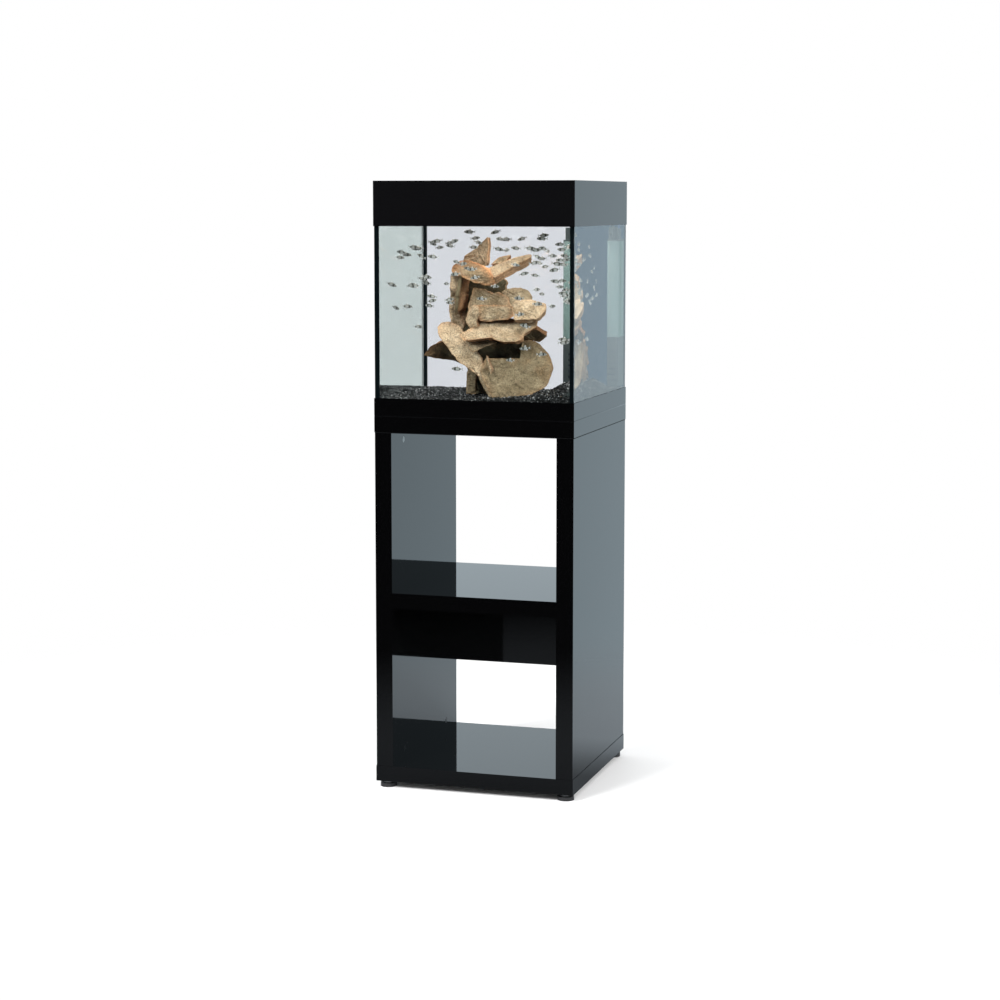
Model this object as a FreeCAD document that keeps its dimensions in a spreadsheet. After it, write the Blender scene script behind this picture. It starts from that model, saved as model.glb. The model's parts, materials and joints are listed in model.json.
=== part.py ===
import FreeCAD, Part
import os
import re

# A cube aquarium on its cabinet stand, in millimetres. The origin is on the floor at the centre of the
# footprint, +Z is up, -Y is the front and +X is the right-hand side.

# ---------------------------------------------------------------- sizes

SIZES = {
    # stand
    "width": 500, "depth": 500,
    "foot_gap": 16, "slab": 38, "side_board": 42, "reveal": 1,
    "lower_bay": 392, "upper_bay": 393,
    "rear_board": 38, "rear_panel_drop": 214,
    "mat": 2,
    # board fittings
    "cam_radius": 7.5, "cam_depth": 13, "cam_setback": 26, "cam_edge": 90,
    "bolt_radius": 3.5, "bolt_bite": 11, "dowel_radius": 4, "dowel_half": 15, "dowel_edge": 150,
    "drill_clearance": 0.2, "drill_spare": 1,
    # levelling feet
    "foot_inset": 24, "pad_radius": 20, "pad_thick": 9, "collar_radius": 11,
    "stem_radius": 4, "stem_length": 22, "nut_radius": 6, "nut_length": 14,
    "running_clearance": 0.05, "stem_room": 0.5, "seat_gap": 0.3,
    # how far a cutting block runs past the face that it opens
    "over": 1,
    # tank
    "frame_height": 42, "frame_floor": 8, "frame_skirt": 1.5, "frame_ledge": 40,
    "glass": 6, "glass_clearance": 0.25, "glass_height": 459, "silicone": 0.6, "bead": 5,
    "gravel_depth": 30,
    # stones
    "stone_span": 484.5,
    # corner filter
    "filter_width": 105, "filter_depth": 56, "filter_wall": 2, "filter_side_gap": 3, "filter_rear_gap": 5,
    "filter_lift": 4, "basket_height": 125, "slot_margin": 12, "cup_inset": 24,
    "chamber_height": 242, "lid_thick": 4, "slot_height": 5,
    "slot_pitch": 14, "sponge_clearance": 1, "cup_radius": 13,
    "pump_side_gap": 2, "flange_side_gap": 4, "volute_floor": 3, "bridge_half": 2, "bridge_spare": 1,
    "shaft_lift": 1, "shaft_cut": 3, "rotor_lift": 4, "rotor_cut": 10, "blade_half": 1, "blade_low": 7,
    "blade_gap": 1, "spigot_lift": 1, "grip_half": 1, "grip_high": 2,
    "pump_size": 44, "pump_height": 22, "pump_cover_height": 8, "rotor_radius": 7, "blade_radius": 9,
    "rotor_room": 1, "shaft_radius": 1, "spigot_radius": 6, "nozzle_radius": 5.5, "nozzle_bore": 4,
    "nozzle_length": 34, "head_radius": 8, "dial_radius": 6, "knob_radius": 8, "dial_thick": 6,
    "spindle_radius": 2.5,
    "spindle_length": 6,
    "heater_radius": 11, "heater_length": 215, "heater_cap_radius": 12.5, "heater_cap_height": 24,
    "flange_radius": 15, "flange_thick": 3, "heater_clearance": 0.4,
    # hood
    "hood_height": 108, "lip": 18, "hood_wall": 4, "hood_ledge": 12, "ledge_thick": 4,
    "deck": 8, "flap_thick": 5, "flap_side": 35, "flap_front": 18, "panel_gap": 1, "rim": 5,
    "hinge_back": 20, "barrel_radius": 4.5, "pin_radius": 1.5, "pin_half": 11, "notch_radius": 14,
    "lamp_strip": 46, "strip_gap": 1.5, "barrel_room": 2,
    "cover_rear": 18, "outlet_width": 60, "outlet_height": 14,
    "lamp_side": 60, "lamp_width": 36, "lamp_height": 20, "lamp_wall": 2, "lens_thick": 3,
    "led_board_thick": 1.6, "led_size": 5, "led_thick": 1, "led_count": 18, "lamp_cap": 4,
    "screw_radius": 2, "screw_length": 6, "screw_inset": 7, "screw_side": 20, "board_drop": 3,
}

# Heights and inner faces that follow from the sizes, each written once.
DERIVED = {
    "half_width": "width / 2", "half_depth": "depth / 2",
    "base_top": "foot_gap + slab",
    "shelf_low": "base_top + lower_bay", "shelf_top": "shelf_low + slab",
    "top_low": "shelf_top + upper_bay", "top_high": "top_low + slab",
    "board_out": "half_width - reveal", "board_in": "board_out - side_board",
    "board_face": "half_depth - reveal",
    "frame_low": "top_high + mat", "frame_top": "frame_low + frame_height",
    "floor_low": "frame_low + frame_floor", "floor_top": "floor_low + glass",
    "pane_low": "floor_top + silicone", "glass_top": "floor_top + glass_height",
    "glass_x": "half_width - frame_skirt - glass_clearance",
    "glass_y": "half_depth - frame_skirt - glass_clearance",
    "water_x": "glass_x - glass", "water_y": "glass_y - glass",
    "gravel_top": "floor_top + gravel_depth",
    "filter_right": "water_x - filter_side_gap", "filter_left": "filter_right - filter_width",
    "filter_back": "water_y - filter_rear_gap", "filter_front": "filter_back - filter_depth",
    "filter_mid": "filter_back - filter_depth / 2",
    "basket_low": "gravel_top + filter_lift", "chamber_low": "basket_low + basket_height",
    "chamber_top": "chamber_low + chamber_height", "lid_top": "chamber_top + lid_thick",
    "pump_x": "filter_left + filter_wall + pump_size / 2 + pump_side_gap",
    "pump_top": "lid_top + pump_height",
    "cover_top": "pump_top + pump_cover_height",
    "heater_x": "filter_right - filter_wall - flange_radius - flange_side_gap",
    "cap_top": "lid_top + flange_thick + heater_cap_height",
    "hood_low": "glass_top - lip", "hood_top": "hood_low + hood_height",
    "deck_low": "hood_top - deck", "panel_low": "hood_top - flap_thick",
    "hinge_y": "hinge_back", "hinge_z": "hood_top - barrel_radius",
    "flap_x": "half_width - flap_side", "flap_y": "flap_front - half_depth",
    "strip_front": "hinge_y + barrel_radius + strip_gap", "strip_back": "strip_front + lamp_strip",
    "cover_y": "half_depth - cover_rear",
    "lamp_x": "half_width - lamp_side", "lamp_front": "strip_front + (lamp_strip - lamp_width) / 2",
    "lamp_back": "lamp_front + lamp_width", "lamp_low": "deck_low - lamp_height",
}

# Flat stones of the stack: length, breadth, thickness, centre x, centre y, centre height over the gravel,
# then the angles in degrees: lean about X (front edge down), tilt about Y (right end down), turn about Z.
STONES = [
    ("foot_plate", 180, 140, 32, 66, -112, 56, 48, -4, -6),
    ("diagonal", 236, 84, 38, -56, -112, 82, 10, 49, 4),
    ("leg", 34, 70, 90, -46, -56, 40, 0, 6, 10),
    ("core", 150, 130, 110, 6, -10, 62, 0, 4, 8),
    ("rear_block", 120, 90, 150, 40, 48, 80, 0, -8, 14),
    ("wedge", 150, 110, 30, -96, -50, 106, -14, -12, -10),
    ("big_slab", 226, 130, 38, 16, -52, 178, 28, -9, -4),
    ("step", 118, 76, 40, -2, -64, 204, 12, -3, 4),
    ("brown_tip", 96, 64, 18, 94, -30, 148, 0, 8, 14),
    ("neck", 92, 84, 120, -36, -8, 232, 0, 4, 0),
    ("upright", 20, 92, 112, -86, -26, 238, 0, -8, 6),
    ("round_plate", 104, 78, 24, 46, 6, 250, 10, 4, 0),
    ("upper_left", 132, 92, 34, -42, -20, 300, 20, 20, -6),
    ("upper_right", 132, 84, 24, 44, -8, 312, 22, -28, 8),
    ("spike", 52, 22, 92, -32, 6, 338, 0, 10, 8),
]
CROWN = ("step", "neck", "upright", "round_plate", "upper_left", "upper_right", "spike")
STONE_SIZES = ("long", "broad", "thick", "across", "back", "up", "lean", "tilt", "turn")
for name, *values in STONES:
    for size, value in zip(STONE_SIZES, values):
        SIZES[f"{name}_{size}"] = value

doc = FreeCAD.newDocument("AquariumOnStand")
sheet = doc.addObject("Spreadsheet::Sheet", "Sizes")
for row, (alias, value) in enumerate(SIZES.items(), start=1):
    sheet.set(f"A{row}", alias.replace("_", " "))
    sheet.set(f"B{row}", str(value))
    sheet.setAlias(f"B{row}", alias)
doc.recompute()

nodes = []

# ---------------------------------------------------------------- helpers


def cell(text):
    """Spell a size expression out in the sheet's own cells."""
    def swap(match):
        word = match.group()
        if word in DERIVED:
            return "(" + cell(DERIVED[word]) + ")"
        return "Sizes." + word if word in SIZES else word
    return re.sub(r"[a-z][a-z_0-9]*", swap, str(text))


def place(item, low):
    """Put an object's own origin at a point given as three expressions."""
    for axis, value in zip("xyz", low):
        item.setExpression(f"Placement.Base.{axis}", cell(value))
    return item


def box(label, low, high):
    """A block between two corners, each given as three expressions."""
    item = doc.addObject("Part::Box", label)
    for side, start, end in zip(("Length", "Width", "Height"), low, high):
        item.setExpression(side, cell(f"({end}) - ({start})"))
    return place(item, low)


TURNS = {
    "+X": ((0, 1, 0), 90), "-X": ((0, 1, 0), -90),
    "+Y": ((1, 0, 0), -90), "-Y": ((1, 0, 0), 90),
    "+Z": ((0, 0, 1), 0), "-Z": ((1, 0, 0), 180),
}


def rod(label, start, way, radius, length):
    """A cylinder that leaves a point along one of the six directions."""
    item = doc.addObject("Part::Cylinder", label)
    item.setExpression("Radius", cell(radius))
    item.setExpression("Height", cell(length))
    axis, angle = TURNS[way]
    item.Placement.Rotation = FreeCAD.Rotation(FreeCAD.Vector(*axis), angle)
    return place(item, start)


def shift(point, way, distance):
    """Move a point, given as expressions, along one of the six directions."""
    moved = list(point)
    axis = "XYZ".index(way[1])
    moved[axis] = f"({point[axis]}) {way[0]} ({distance})"
    return tuple(moved)


def fuse(label, items):
    item = doc.addObject("Part::MultiFuse", label)
    item.Shapes = items
    return item


def cut(label, base, tools):
    """Take one or more tools out of a solid."""
    item = doc.addObject("Part::Cut", label)
    item.Base = base
    item.Tool = tools[0] if len(tools) == 1 else fuse(label + "_tools", tools)
    return item


def common(label, base, tool):
    item = doc.addObject("Part::Common", label)
    item.Base = base
    item.Tool = tool
    return item


def group(label, items):
    """Identical pieces kept as separate solids in one node."""
    item = doc.addObject("Part::Compound", label)
    item.Links = items
    return item


def node(label, item):
    """Keep an object as one of the assembly's named pieces."""
    item.Label = label
    nodes.append(item)
    return item


SIDES = (("left", "-"), ("right", "+"))
ENDS = (("front", "-"), ("rear", "+"))
CORNERS = [(f"{end}_{side}", sx, sy) for end, sy in ENDS for side, sx in SIDES]

# ---------------------------------------------------------------- stand boards and their fittings

drills = {}
cams = []
cam_bolts = []
dowels = []


def drill(board, item):
    drills.setdefault(board, []).append(item)


def cam_joint(name, end, way, face, thickness, board, mate):
    """A cam sunk in one board near its end, and the bolt that it draws out of the mating board. The cam's face
    is level with the board's face, half the board's thickness away from the bolt's axis."""
    centre = shift(end, "-+"[way[0] == "-"] + way[1], "cam_setback")
    mouth = shift(centre, face, f"{thickness} / 2")
    inward = "-+"[face[0] == "-"] + face[1]
    neck = rod(name + "_neck", centre, way, "bolt_radius + drill_clearance", "cam_setback")
    cam = rod(name + "_disc", mouth, inward, "cam_radius", "cam_depth")
    cams.append(cut(name + "_cam", cam, [neck]))
    cam_bolts.append(rod(name + "_bolt", centre, way, "bolt_radius", "cam_setback + bolt_bite"))
    pocket = rod(name + "_pocket", mouth, inward, "cam_radius + drill_clearance", "cam_depth")
    drill(board, pocket)
    drill(board, rod(name + "_bore", centre, way, "bolt_radius + drill_clearance", "cam_setback"))
    drill(mate, rod(name + "_seat", end, way, "bolt_radius", "bolt_bite + drill_spare"))


def dowel_joint(name, end, way, board, mate):
    """A wooden dowel, half in each of two boards."""
    back = "-+"[way[0] == "-"] + way[1]
    dowels.append(rod(name + "_dowel", shift(end, back, "dowel_half"), way, "dowel_radius", "2 * dowel_half"))
    drill(board, rod(name + "_hole", end, back, "dowel_radius", "dowel_half + drill_spare"))
    drill(mate, rod(name + "_socket", end, way, "dowel_radius", "dowel_half + drill_spare"))


for side, sx in SIDES:
    inner = "+" if sx == "-" else "-"
    middle = f"{sx} (board_in + side_board / 2)"
    panel = f"{side}_side_panel"
    for end, sy in ENDS:
        across = f"{sy} (half_depth - cam_edge)"
        beside = f"{sy} (half_depth - dowel_edge)"
        tag = f"{side}_{end}"
        cam_joint(f"top_{tag}", (middle, across, "top_low"), "+Z", inner + "X", "side_board", panel,
                  "top_slab")
        cam_joint(f"base_{tag}", (middle, across, "base_top"), "-Z", inner + "X", "side_board", panel,
                  "base_slab")
        dowel_joint(f"top_{tag}", (middle, beside, "top_low"), "+Z", panel, "top_slab")
        dowel_joint(f"base_{tag}", (middle, beside, "base_top"), "-Z", panel, "base_slab")
        dowel_joint(f"shelf_{tag}", (f"{sx} board_in", beside, "shelf_low + slab / 2"), sx + "X",
                    "middle_shelf", panel)

# The shelf's cams open downwards and the rear panel's open backwards.
for side, sx in SIDES:
    for end, sy in ENDS:
        seat = (f"{sx} board_in", f"{sy} (half_depth - cam_edge)", "shelf_low + slab / 2")
        cam_joint(f"shelf_{side}_{end}", seat, sx + "X", "-Z", "slab", "middle_shelf", f"{side}_side_panel")
for side, sx in SIDES:
    behind = "board_face - rear_board / 2"
    seat = (f"{sx} board_in", behind, "shelf_low - rear_panel_drop / 2")
    peg = (f"{sx} board_in", behind, "shelf_low - rear_panel_drop + cam_setback")
    cam_joint(f"rear_{side}", seat, sx + "X", "+Y", "rear_board", "rear_panel", f"{side}_side_panel")
    dowel_joint(f"rear_{side}", peg, sx + "X", "rear_panel", f"{side}_side_panel")

# Levelling feet: a pad, and a screw that runs in a threaded insert in the base slab.
nuts = []
for corner, sx, sy in CORNERS:
    centre = (f"{sx} (half_width - foot_inset)", f"{sy} (half_depth - foot_inset)")
    bore = rod(f"nut_bore_{corner}", (*centre, "foot_gap"), "+Z", "stem_radius + running_clearance", "nut_length")
    body = rod(f"nut_body_{corner}", (*centre, "foot_gap"), "+Z", "nut_radius", "nut_length")
    nuts.append(cut(f"nut_{corner}", body, [bore]))
    drill("base_slab", rod(f"nut_hole_{corner}", (*centre, "foot_gap"), "+Z", "nut_radius", "nut_length"))
    drill("base_slab", rod(f"stem_hole_{corner}", (*centre, "foot_gap"), "+Z", "stem_radius + stem_room",
                           "stem_length + drill_spare"))
    stem = rod(f"stem_{corner}", (*centre, "pad_thick / 2"), "+Z", "stem_radius",
               "foot_gap + stem_length - pad_thick / 2")
    collar = rod(f"collar_{corner}", (*centre, "pad_thick"), "+Z", "collar_radius", "foot_gap - pad_thick")
    node(f"foot_screw_{corner}", fuse(f"screw_{corner}", [stem, collar]))
    disc = rod(f"disc_{corner}", (*centre, "0"), "+Z", "pad_radius", "pad_thick")
    dimple = rod(f"dimple_{corner}", (*centre, "pad_thick / 2"), "+Z", "stem_radius", "pad_thick")
    node(f"foot_pad_{corner}", cut(f"pad_{corner}", disc, [dimple]))

BOARDS = {
    "base_slab": (("-half_width", "-half_depth", "foot_gap"), ("half_width", "half_depth", "base_top")),
    "left_side_panel": (("-board_out", "-board_face", "base_top"), ("-board_in", "board_face", "top_low")),
    "right_side_panel": (("board_in", "-board_face", "base_top"), ("board_out", "board_face", "top_low")),
    "middle_shelf": (("-board_in", "-board_face", "shelf_low"), ("board_in", "board_face", "shelf_top")),
    "rear_panel": (("-board_in", "board_face - rear_board", "shelf_low - rear_panel_drop"),
                   ("board_in", "board_face", "shelf_low")),
    "top_slab": (("-half_width", "-half_depth", "top_low"), ("half_width", "half_depth", "top_high")),
}
for label, (low, high) in BOARDS.items():
    node(label, cut(label + "_drilled", box(label + "_blank", low, high), drills[label]))
node("cam_discs", group("cams", cams))
node("cam_bolts", group("bolts", cam_bolts))
node("wood_dowels", group("dowels", dowels))
node("insert_nuts", group("nuts", nuts))
node("foam_mat", box("mat", ("-glass_x", "-glass_y", "top_high"), ("glass_x", "glass_y", "frame_low")))

# ---------------------------------------------------------------- tank

frame_blank = box("frame_blank", ("-half_width", "-half_depth", "frame_low"),
                  ("half_width", "half_depth", "frame_top"))
frame_pocket = box("frame_pocket", ("frame_skirt - half_width", "frame_skirt - half_depth", "floor_low"),
                   ("half_width - frame_skirt", "half_depth - frame_skirt", "frame_top + over"))
frame_window = box("frame_window", ("frame_ledge - half_width", "frame_ledge - half_depth", "frame_low - over"),
                   ("half_width - frame_ledge", "half_depth - frame_ledge", "frame_top"))
node("tank_base_frame", cut("frame", frame_blank, [frame_pocket, frame_window]))

node("bottom_glass", box("bottom", ("-glass_x", "-glass_y", "floor_low"), ("glass_x", "glass_y", "floor_top")))
for end, sy in ENDS:
    near, far = ("-glass_y", "-water_y") if sy == "-" else ("water_y", "glass_y")
    node(f"{end}_glass", box(f"{end}_pane", ("-glass_x", near, "pane_low"), ("glass_x", far, "glass_top")))
for side, sx in SIDES:
    near, far = ("-glass_x", "-water_x") if sx == "-" else ("water_x", "glass_x")
    node(f"{side}_glass", box(f"{side}_pane", (near, "silicone - water_y", "pane_low"),
                              (far, "water_y - silicone", "glass_top")))

# Silicone: a thin film in every glass joint, and a round bead along its inner corner.
inside = box("tank_inside", ("-water_x", "-water_y", "floor_top"), ("water_x", "water_y", "glass_top"))
film = box("floor_film", ("-glass_x", "-glass_y", "floor_top"), ("glass_x", "glass_y", "pane_low"))
film_window = box("film_window", ("-water_x", "-water_y", "floor_top - over"),
                  ("water_x", "water_y", "pane_low + over"))
floor_beads = [
    rod("bead_front", ("-water_x", "-water_y", "floor_top"), "+X", "bead", "2 * water_x"),
    rod("bead_rear", ("-water_x", "water_y", "floor_top"), "+X", "bead", "2 * water_x"),
    rod("bead_left", ("-water_x", "-water_y", "floor_top"), "+Y", "bead", "2 * water_y"),
    rod("bead_right", ("water_x", "-water_y", "floor_top"), "+Y", "bead", "2 * water_y"),
]
inner_beads = common("inner_beads", fuse("floor_beads", floor_beads), inside)
node("floor_seam", fuse("floor_seam_solid", [cut("film_ring", film, [film_window]), inner_beads]))

seams = []
quarters = []
for corner, sx, sy in CORNERS:
    outer = box(f"film_{corner}", ("-glass_x" if sx == "-" else "water_x",
                                   "-water_y" if sy == "-" else "water_y - silicone", "pane_low"),
                ("-water_x" if sx == "-" else "glass_x",
                 "silicone - water_y" if sy == "-" else "water_y", "glass_top"))
    bead = rod(f"bead_{corner}", (f"{sx} water_x", f"{sy} water_y", "pane_low"), "+Z", "bead",
               "glass_top - pane_low")
    quarters.append(common(f"quarter_{corner}", bead, inside))
    seams.append(cut(f"seam_{corner}", fuse(f"seam_whole_{corner}", [outer, quarters[-1]]), [inner_beads]))
node("corner_seams", group("seams", seams))

gravel = box("gravel_blank", ("-water_x", "-water_y", "floor_top"), ("water_x", "water_y", "gravel_top"))
node("gravel_bed", cut("gravel", gravel, [inner_beads] + quarters))

# ---------------------------------------------------------------- stones


def stone(name):
    """One flat stone: a block that leans about X, tilts about Y and turns about Z, round its centre."""
    item = doc.addObject("Part::Box", f"stone_{name}")
    share = "min(water_x; water_y) * 2 / stone_span"
    half = {}
    for side, size in (("Length", "long"), ("Width", "broad"), ("Height", "thick")):
        item.setExpression(side, cell(f"{name}_{size} * {share}"))
        half[size] = f"{name}_{size} / 2 * {share}"
    rotation = FreeCAD.Rotation()
    for axis, angle in (((0, 0, 1), "turn"), ((0, 1, 0), "tilt"), ((1, 0, 0), "lean")):
        rotation = rotation * FreeCAD.Rotation(FreeCAD.Vector(*axis), SIZES[f"{name}_{angle}"])
    item.Placement.Rotation = rotation
    # The block's own corner lies where its turned half sizes put it from the stone's centre.
    rows = [rotation.multVec(FreeCAD.Vector(*unit)) for unit in ((1, 0, 0), (0, 1, 0), (0, 0, 1))]
    offsets = []
    for axis in range(3):
        terms = [f"({row[axis]:.6f}) * ({half[size]})" for row, size in zip(rows, ("long", "broad", "thick"))]
        offsets.append(" + ".join(terms))
    place(item, (f"{name}_across * {share} - ({offsets[0]})", f"{name}_back * {share} - ({offsets[1]})",
                 f"gravel_top + {name}_up * {share} - ({offsets[2]})"))
    return item


base_stones = fuse("base_stones", [stone(name) for name, *values in STONES if name not in CROWN])
crown_stones = fuse("crown_stones", [stone(name) for name in CROWN])
node("rock_base", cut("base_on_gravel", base_stones, [gravel]))
node("rock_crown", cut("crown_on_base", crown_stones, [base_stones]))

# ---------------------------------------------------------------- corner filter


def shell(label, low, high, floor):
    """A rectangular tube with one wall thickness, closed below when floor is true."""
    blank = box(label + "_blank", low, high)
    inner_low = (f"{low[0]} + filter_wall", f"{low[1]} + filter_wall", f"{low[2]} + filter_wall" if floor
                 else f"{low[2]} - over")
    inner_high = (f"{high[0]} - filter_wall", f"{high[1]} - filter_wall", f"{high[2]} + over")
    return blank, box(label + "_room", inner_low, inner_high)


blank, room = shell("basket", ("filter_left", "filter_front", "basket_low"),
                    ("filter_right", "filter_back", "chamber_low"), True)
slots = []
slot_count = int((SIZES["basket_height"] - 2 * SIZES["slot_pitch"]) // SIZES["slot_pitch"])
for row in range(slot_count):
    low = f"basket_low + slot_pitch * {row + 1}"
    slots.append(box(f"front_slot_{row}", ("filter_left + slot_margin", "filter_front - over", low),
                     ("filter_right - slot_margin", "filter_front + filter_wall + over",
                      f"{low} + slot_height")))
    slots.append(box(f"side_slot_{row}", ("filter_left - over", "filter_front + slot_margin", low),
                     ("filter_left + filter_wall + over", "filter_back - slot_margin",
                      f"{low} + slot_height")))
node("filter_basket", cut("basket", blank, [room] + slots))
pad_gap = "filter_wall + sponge_clearance"
node("filter_sponge", box("sponge", (f"filter_left + {pad_gap}", f"filter_front + {pad_gap}",
                                     "basket_low + filter_wall"),
                          (f"filter_right - ({pad_gap})", f"filter_back - ({pad_gap})",
                           "chamber_low - sponge_clearance")))
blank, room = shell("chamber", ("filter_left", "filter_front", "chamber_low"),
                    ("filter_right", "filter_back", "chamber_top"), False)
node("filter_chamber", cut("chamber", blank, [room]))

lid = box("lid_blank", ("filter_left", "filter_front", "chamber_top"),
          ("filter_right", "filter_back", "lid_top"))
heater_at = ("heater_x", "filter_mid")
pump_at = ("pump_x", "filter_mid")
heater_hole = rod("heater_hole", (*heater_at, "chamber_top - over"), "+Z",
                  "heater_cap_radius + heater_clearance", "lid_thick + 2 * over")
inlet = rod("inlet_hole", (*pump_at, "chamber_top - over"), "+Z", "spigot_radius", "lid_thick + 2 * over")
node("chamber_lid", cut("lid", lid, [heater_hole, inlet]))

cups = []
for x in ("filter_left + cup_inset", "filter_right - cup_inset"):
    for z in ("chamber_low + cup_inset", "chamber_top - cup_inset"):
        cups.append(rod(f"cup_{len(cups)}", (x, "filter_back", z), "+Y", "cup_radius", "filter_rear_gap"))
node("suction_cups", group("cups", cups))

pump_low = ("pump_x - pump_size / 2", "filter_mid - pump_size / 2", "lid_top")
pump = box("pump_blank", pump_low, ("pump_x + pump_size / 2", "filter_mid + pump_size / 2", "pump_top"))
volute = rod("volute", (*pump_at, "lid_top + volute_floor"), "+Z", "blade_radius + rotor_room", "pump_height")
pump_inlet = rod("pump_inlet", (*pump_at, "lid_top - over"), "+Z", "spigot_radius", "pump_height")
shaft_bridge = box("shaft_bridge", ("pump_x - spigot_radius - bridge_spare", "filter_mid - bridge_half",
                                    "lid_top"),
                   ("pump_x + spigot_radius + bridge_spare", "filter_mid + bridge_half",
                    "lid_top + volute_floor"))
dial_seat = ("pump_x", "filter_mid - pump_size / 2", "lid_top + pump_height / 2")
dial_bore = rod("dial_bore", dial_seat, "+Y", "spindle_radius + running_clearance", "spindle_length + over")
open_pump = cut("open_pump", pump, [volute, pump_inlet, dial_bore])
shaft_foot = rod("shaft_foot", (*pump_at, "lid_top + shaft_lift"), "+Z", "shaft_radius", "pump_height")
node("pump_body", cut("pump", fuse("pump_with_bridge", [open_pump, shaft_bridge]), [shaft_foot]))
node("impeller_shaft", rod("shaft", (*pump_at, "lid_top + shaft_lift"), "+Z", "shaft_radius",
                           "pump_height - shaft_cut"))

# The impeller: a round magnet with four blades on it, free on its shaft.
rotor = rod("rotor", (*pump_at, "lid_top + rotor_lift"), "+Z", "rotor_radius", "pump_height - rotor_cut")
blades = [
    box("blade_x", ("pump_x - blade_radius", "filter_mid - blade_half", "pump_top - blade_low"),
        ("pump_x + blade_radius", "filter_mid + blade_half", "pump_top - blade_gap")),
    box("blade_y", ("pump_x - blade_half", "filter_mid - blade_radius", "pump_top - blade_low"),
        ("pump_x + blade_half", "filter_mid + blade_radius", "pump_top - blade_gap")),
]
rotor_bore = rod("rotor_bore", (*pump_at, "lid_top"), "+Z", "shaft_radius + running_clearance", "pump_height")
node("impeller", cut("impeller_bored", fuse("impeller_whole", [rotor] + blades), [rotor_bore]))

pump_lid = box("pump_lid", (pump_low[0], pump_low[1], "pump_top"),
               ("pump_x + pump_size / 2", "filter_mid + pump_size / 2", "cover_top"))
socket = rod("nozzle_socket", (*pump_at, "pump_top - over"), "+Z", "spigot_radius + running_clearance",
             "pump_cover_height + 2 * over")
node("pump_cover", cut("pump_cover_bored", pump_lid, [socket]))

# The outlet nozzle: a spigot that turns in the pump cover, and an arm that points into the tank.
nozzle_z = "cover_top + seat_gap + head_radius"
spigot = rod("spigot", (*pump_at, "pump_top + spigot_lift"), "+Z", "spigot_radius", "pump_cover_height")
head = rod("nozzle_head", (*pump_at, "cover_top + seat_gap"), "+Z", "head_radius", "2 * head_radius")
arm = rod("nozzle_arm", (*pump_at, nozzle_z), "-Y", "nozzle_radius", "nozzle_length")
arm_bore = rod("arm_bore", (*pump_at, nozzle_z), "-Y", "nozzle_bore", "nozzle_length + over")
riser = rod("riser", (*pump_at, "pump_top"), "+Z", "nozzle_bore", "pump_cover_height + head_radius")
node("outlet_nozzle", cut("nozzle", fuse("nozzle_whole", [spigot, head, arm]), [arm_bore, riser]))

dial_face = shift(dial_seat, "-Y", "seat_gap")
dial_wheel = rod("dial_wheel", dial_face, "-Y", "dial_radius", "dial_thick")
dial_stem = rod("dial_stem", dial_face, "+Y", "spindle_radius", "spindle_length")
dial_front = "filter_mid - pump_size / 2 - seat_gap - dial_thick"
grip = box("dial_grip", ("pump_x - grip_half", f"{dial_front} - grip_high",
                         "lid_top + pump_height / 2 - dial_radius + grip_half"),
           ("pump_x + grip_half", f"{dial_front} + grip_half",
            "lid_top + pump_height / 2 + dial_radius - grip_half"))
node("flow_dial", fuse("flow_dial_whole", [dial_wheel, dial_stem, grip]))

# The heater hangs by its flange in the chamber's lid, and its dial is on top.
tube = rod("heater_tube_whole", (*heater_at, "chamber_top - heater_length"), "+Z", "heater_radius",
           "heater_length")
node("heater_tube", tube)
plug = rod("heater_plug", (*heater_at, "chamber_top"), "+Z", "heater_cap_radius",
           "lid_thick + flange_thick + heater_cap_height")
flange = rod("heater_flange", (*heater_at, "lid_top"), "+Z", "flange_radius", "flange_thick")
dial_hole = rod("heater_dial_hole", (*heater_at, "cap_top - spindle_length - over"), "+Z",
                "spindle_radius + running_clearance", "spindle_length + 2 * over")
node("heater_cap", cut("heater_cap_bored", fuse("heater_cap_whole", [plug, flange]), [dial_hole]))
knob = rod("heater_knob", (*heater_at, "cap_top + seat_gap"), "+Z", "knob_radius", "dial_thick")
knob_stem = rod("heater_knob_stem", (*heater_at, "cap_top - spindle_length"), "+Z", "spindle_radius",
                "spindle_length + seat_gap")
knob_grip = box("heater_knob_grip", ("heater_x - dial_radius", "filter_mid - grip_half", "cap_top + dial_thick"),
                ("heater_x + dial_radius", "filter_mid + grip_half", "cap_top + dial_thick + grip_high"))
node("heater_dial", fuse("heater_dial_whole", [knob, knob_stem, knob_grip]))

# ---------------------------------------------------------------- hood

hood_blank = box("hood_blank", ("-half_width", "-half_depth", "hood_low"),
                 ("half_width", "half_depth", "hood_top"))
lip_room = box("lip_room", ("frame_skirt - half_width", "frame_skirt - half_depth", "hood_low - over"),
               ("half_width - frame_skirt", "half_depth - frame_skirt", "glass_top"))
ledge_x = "half_width - hood_ledge"
ledge_y = "half_depth - hood_ledge"
ledge_room = box("ledge_room", (f"-({ledge_x})", f"-({ledge_y})", "glass_top - over"),
                 (ledge_x, ledge_y, "glass_top + ledge_thick + over"))
hood_room = box("hood_room", ("hood_wall - half_width", "hood_wall - half_depth", "glass_top + ledge_thick"),
                ("half_width - hood_wall", "half_depth - hood_wall", "deck_low"))
flap_seat = box("flap_seat", ("-flap_x - panel_gap", "flap_y - panel_gap", "panel_low"),
                ("flap_x + panel_gap", "strip_front", "hood_top + over"))
flap_hole = box("flap_hole", ("rim - flap_x", "flap_y + rim", "deck_low - over"),
                ("flap_x - rim", "strip_front", "hood_top"))
barrel_hole = box("barrel_hole", ("-flap_x - panel_gap", "hinge_y - barrel_radius - barrel_room", "deck_low - over"),
                  ("flap_x + panel_gap", "strip_front", "hood_top"))
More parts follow.
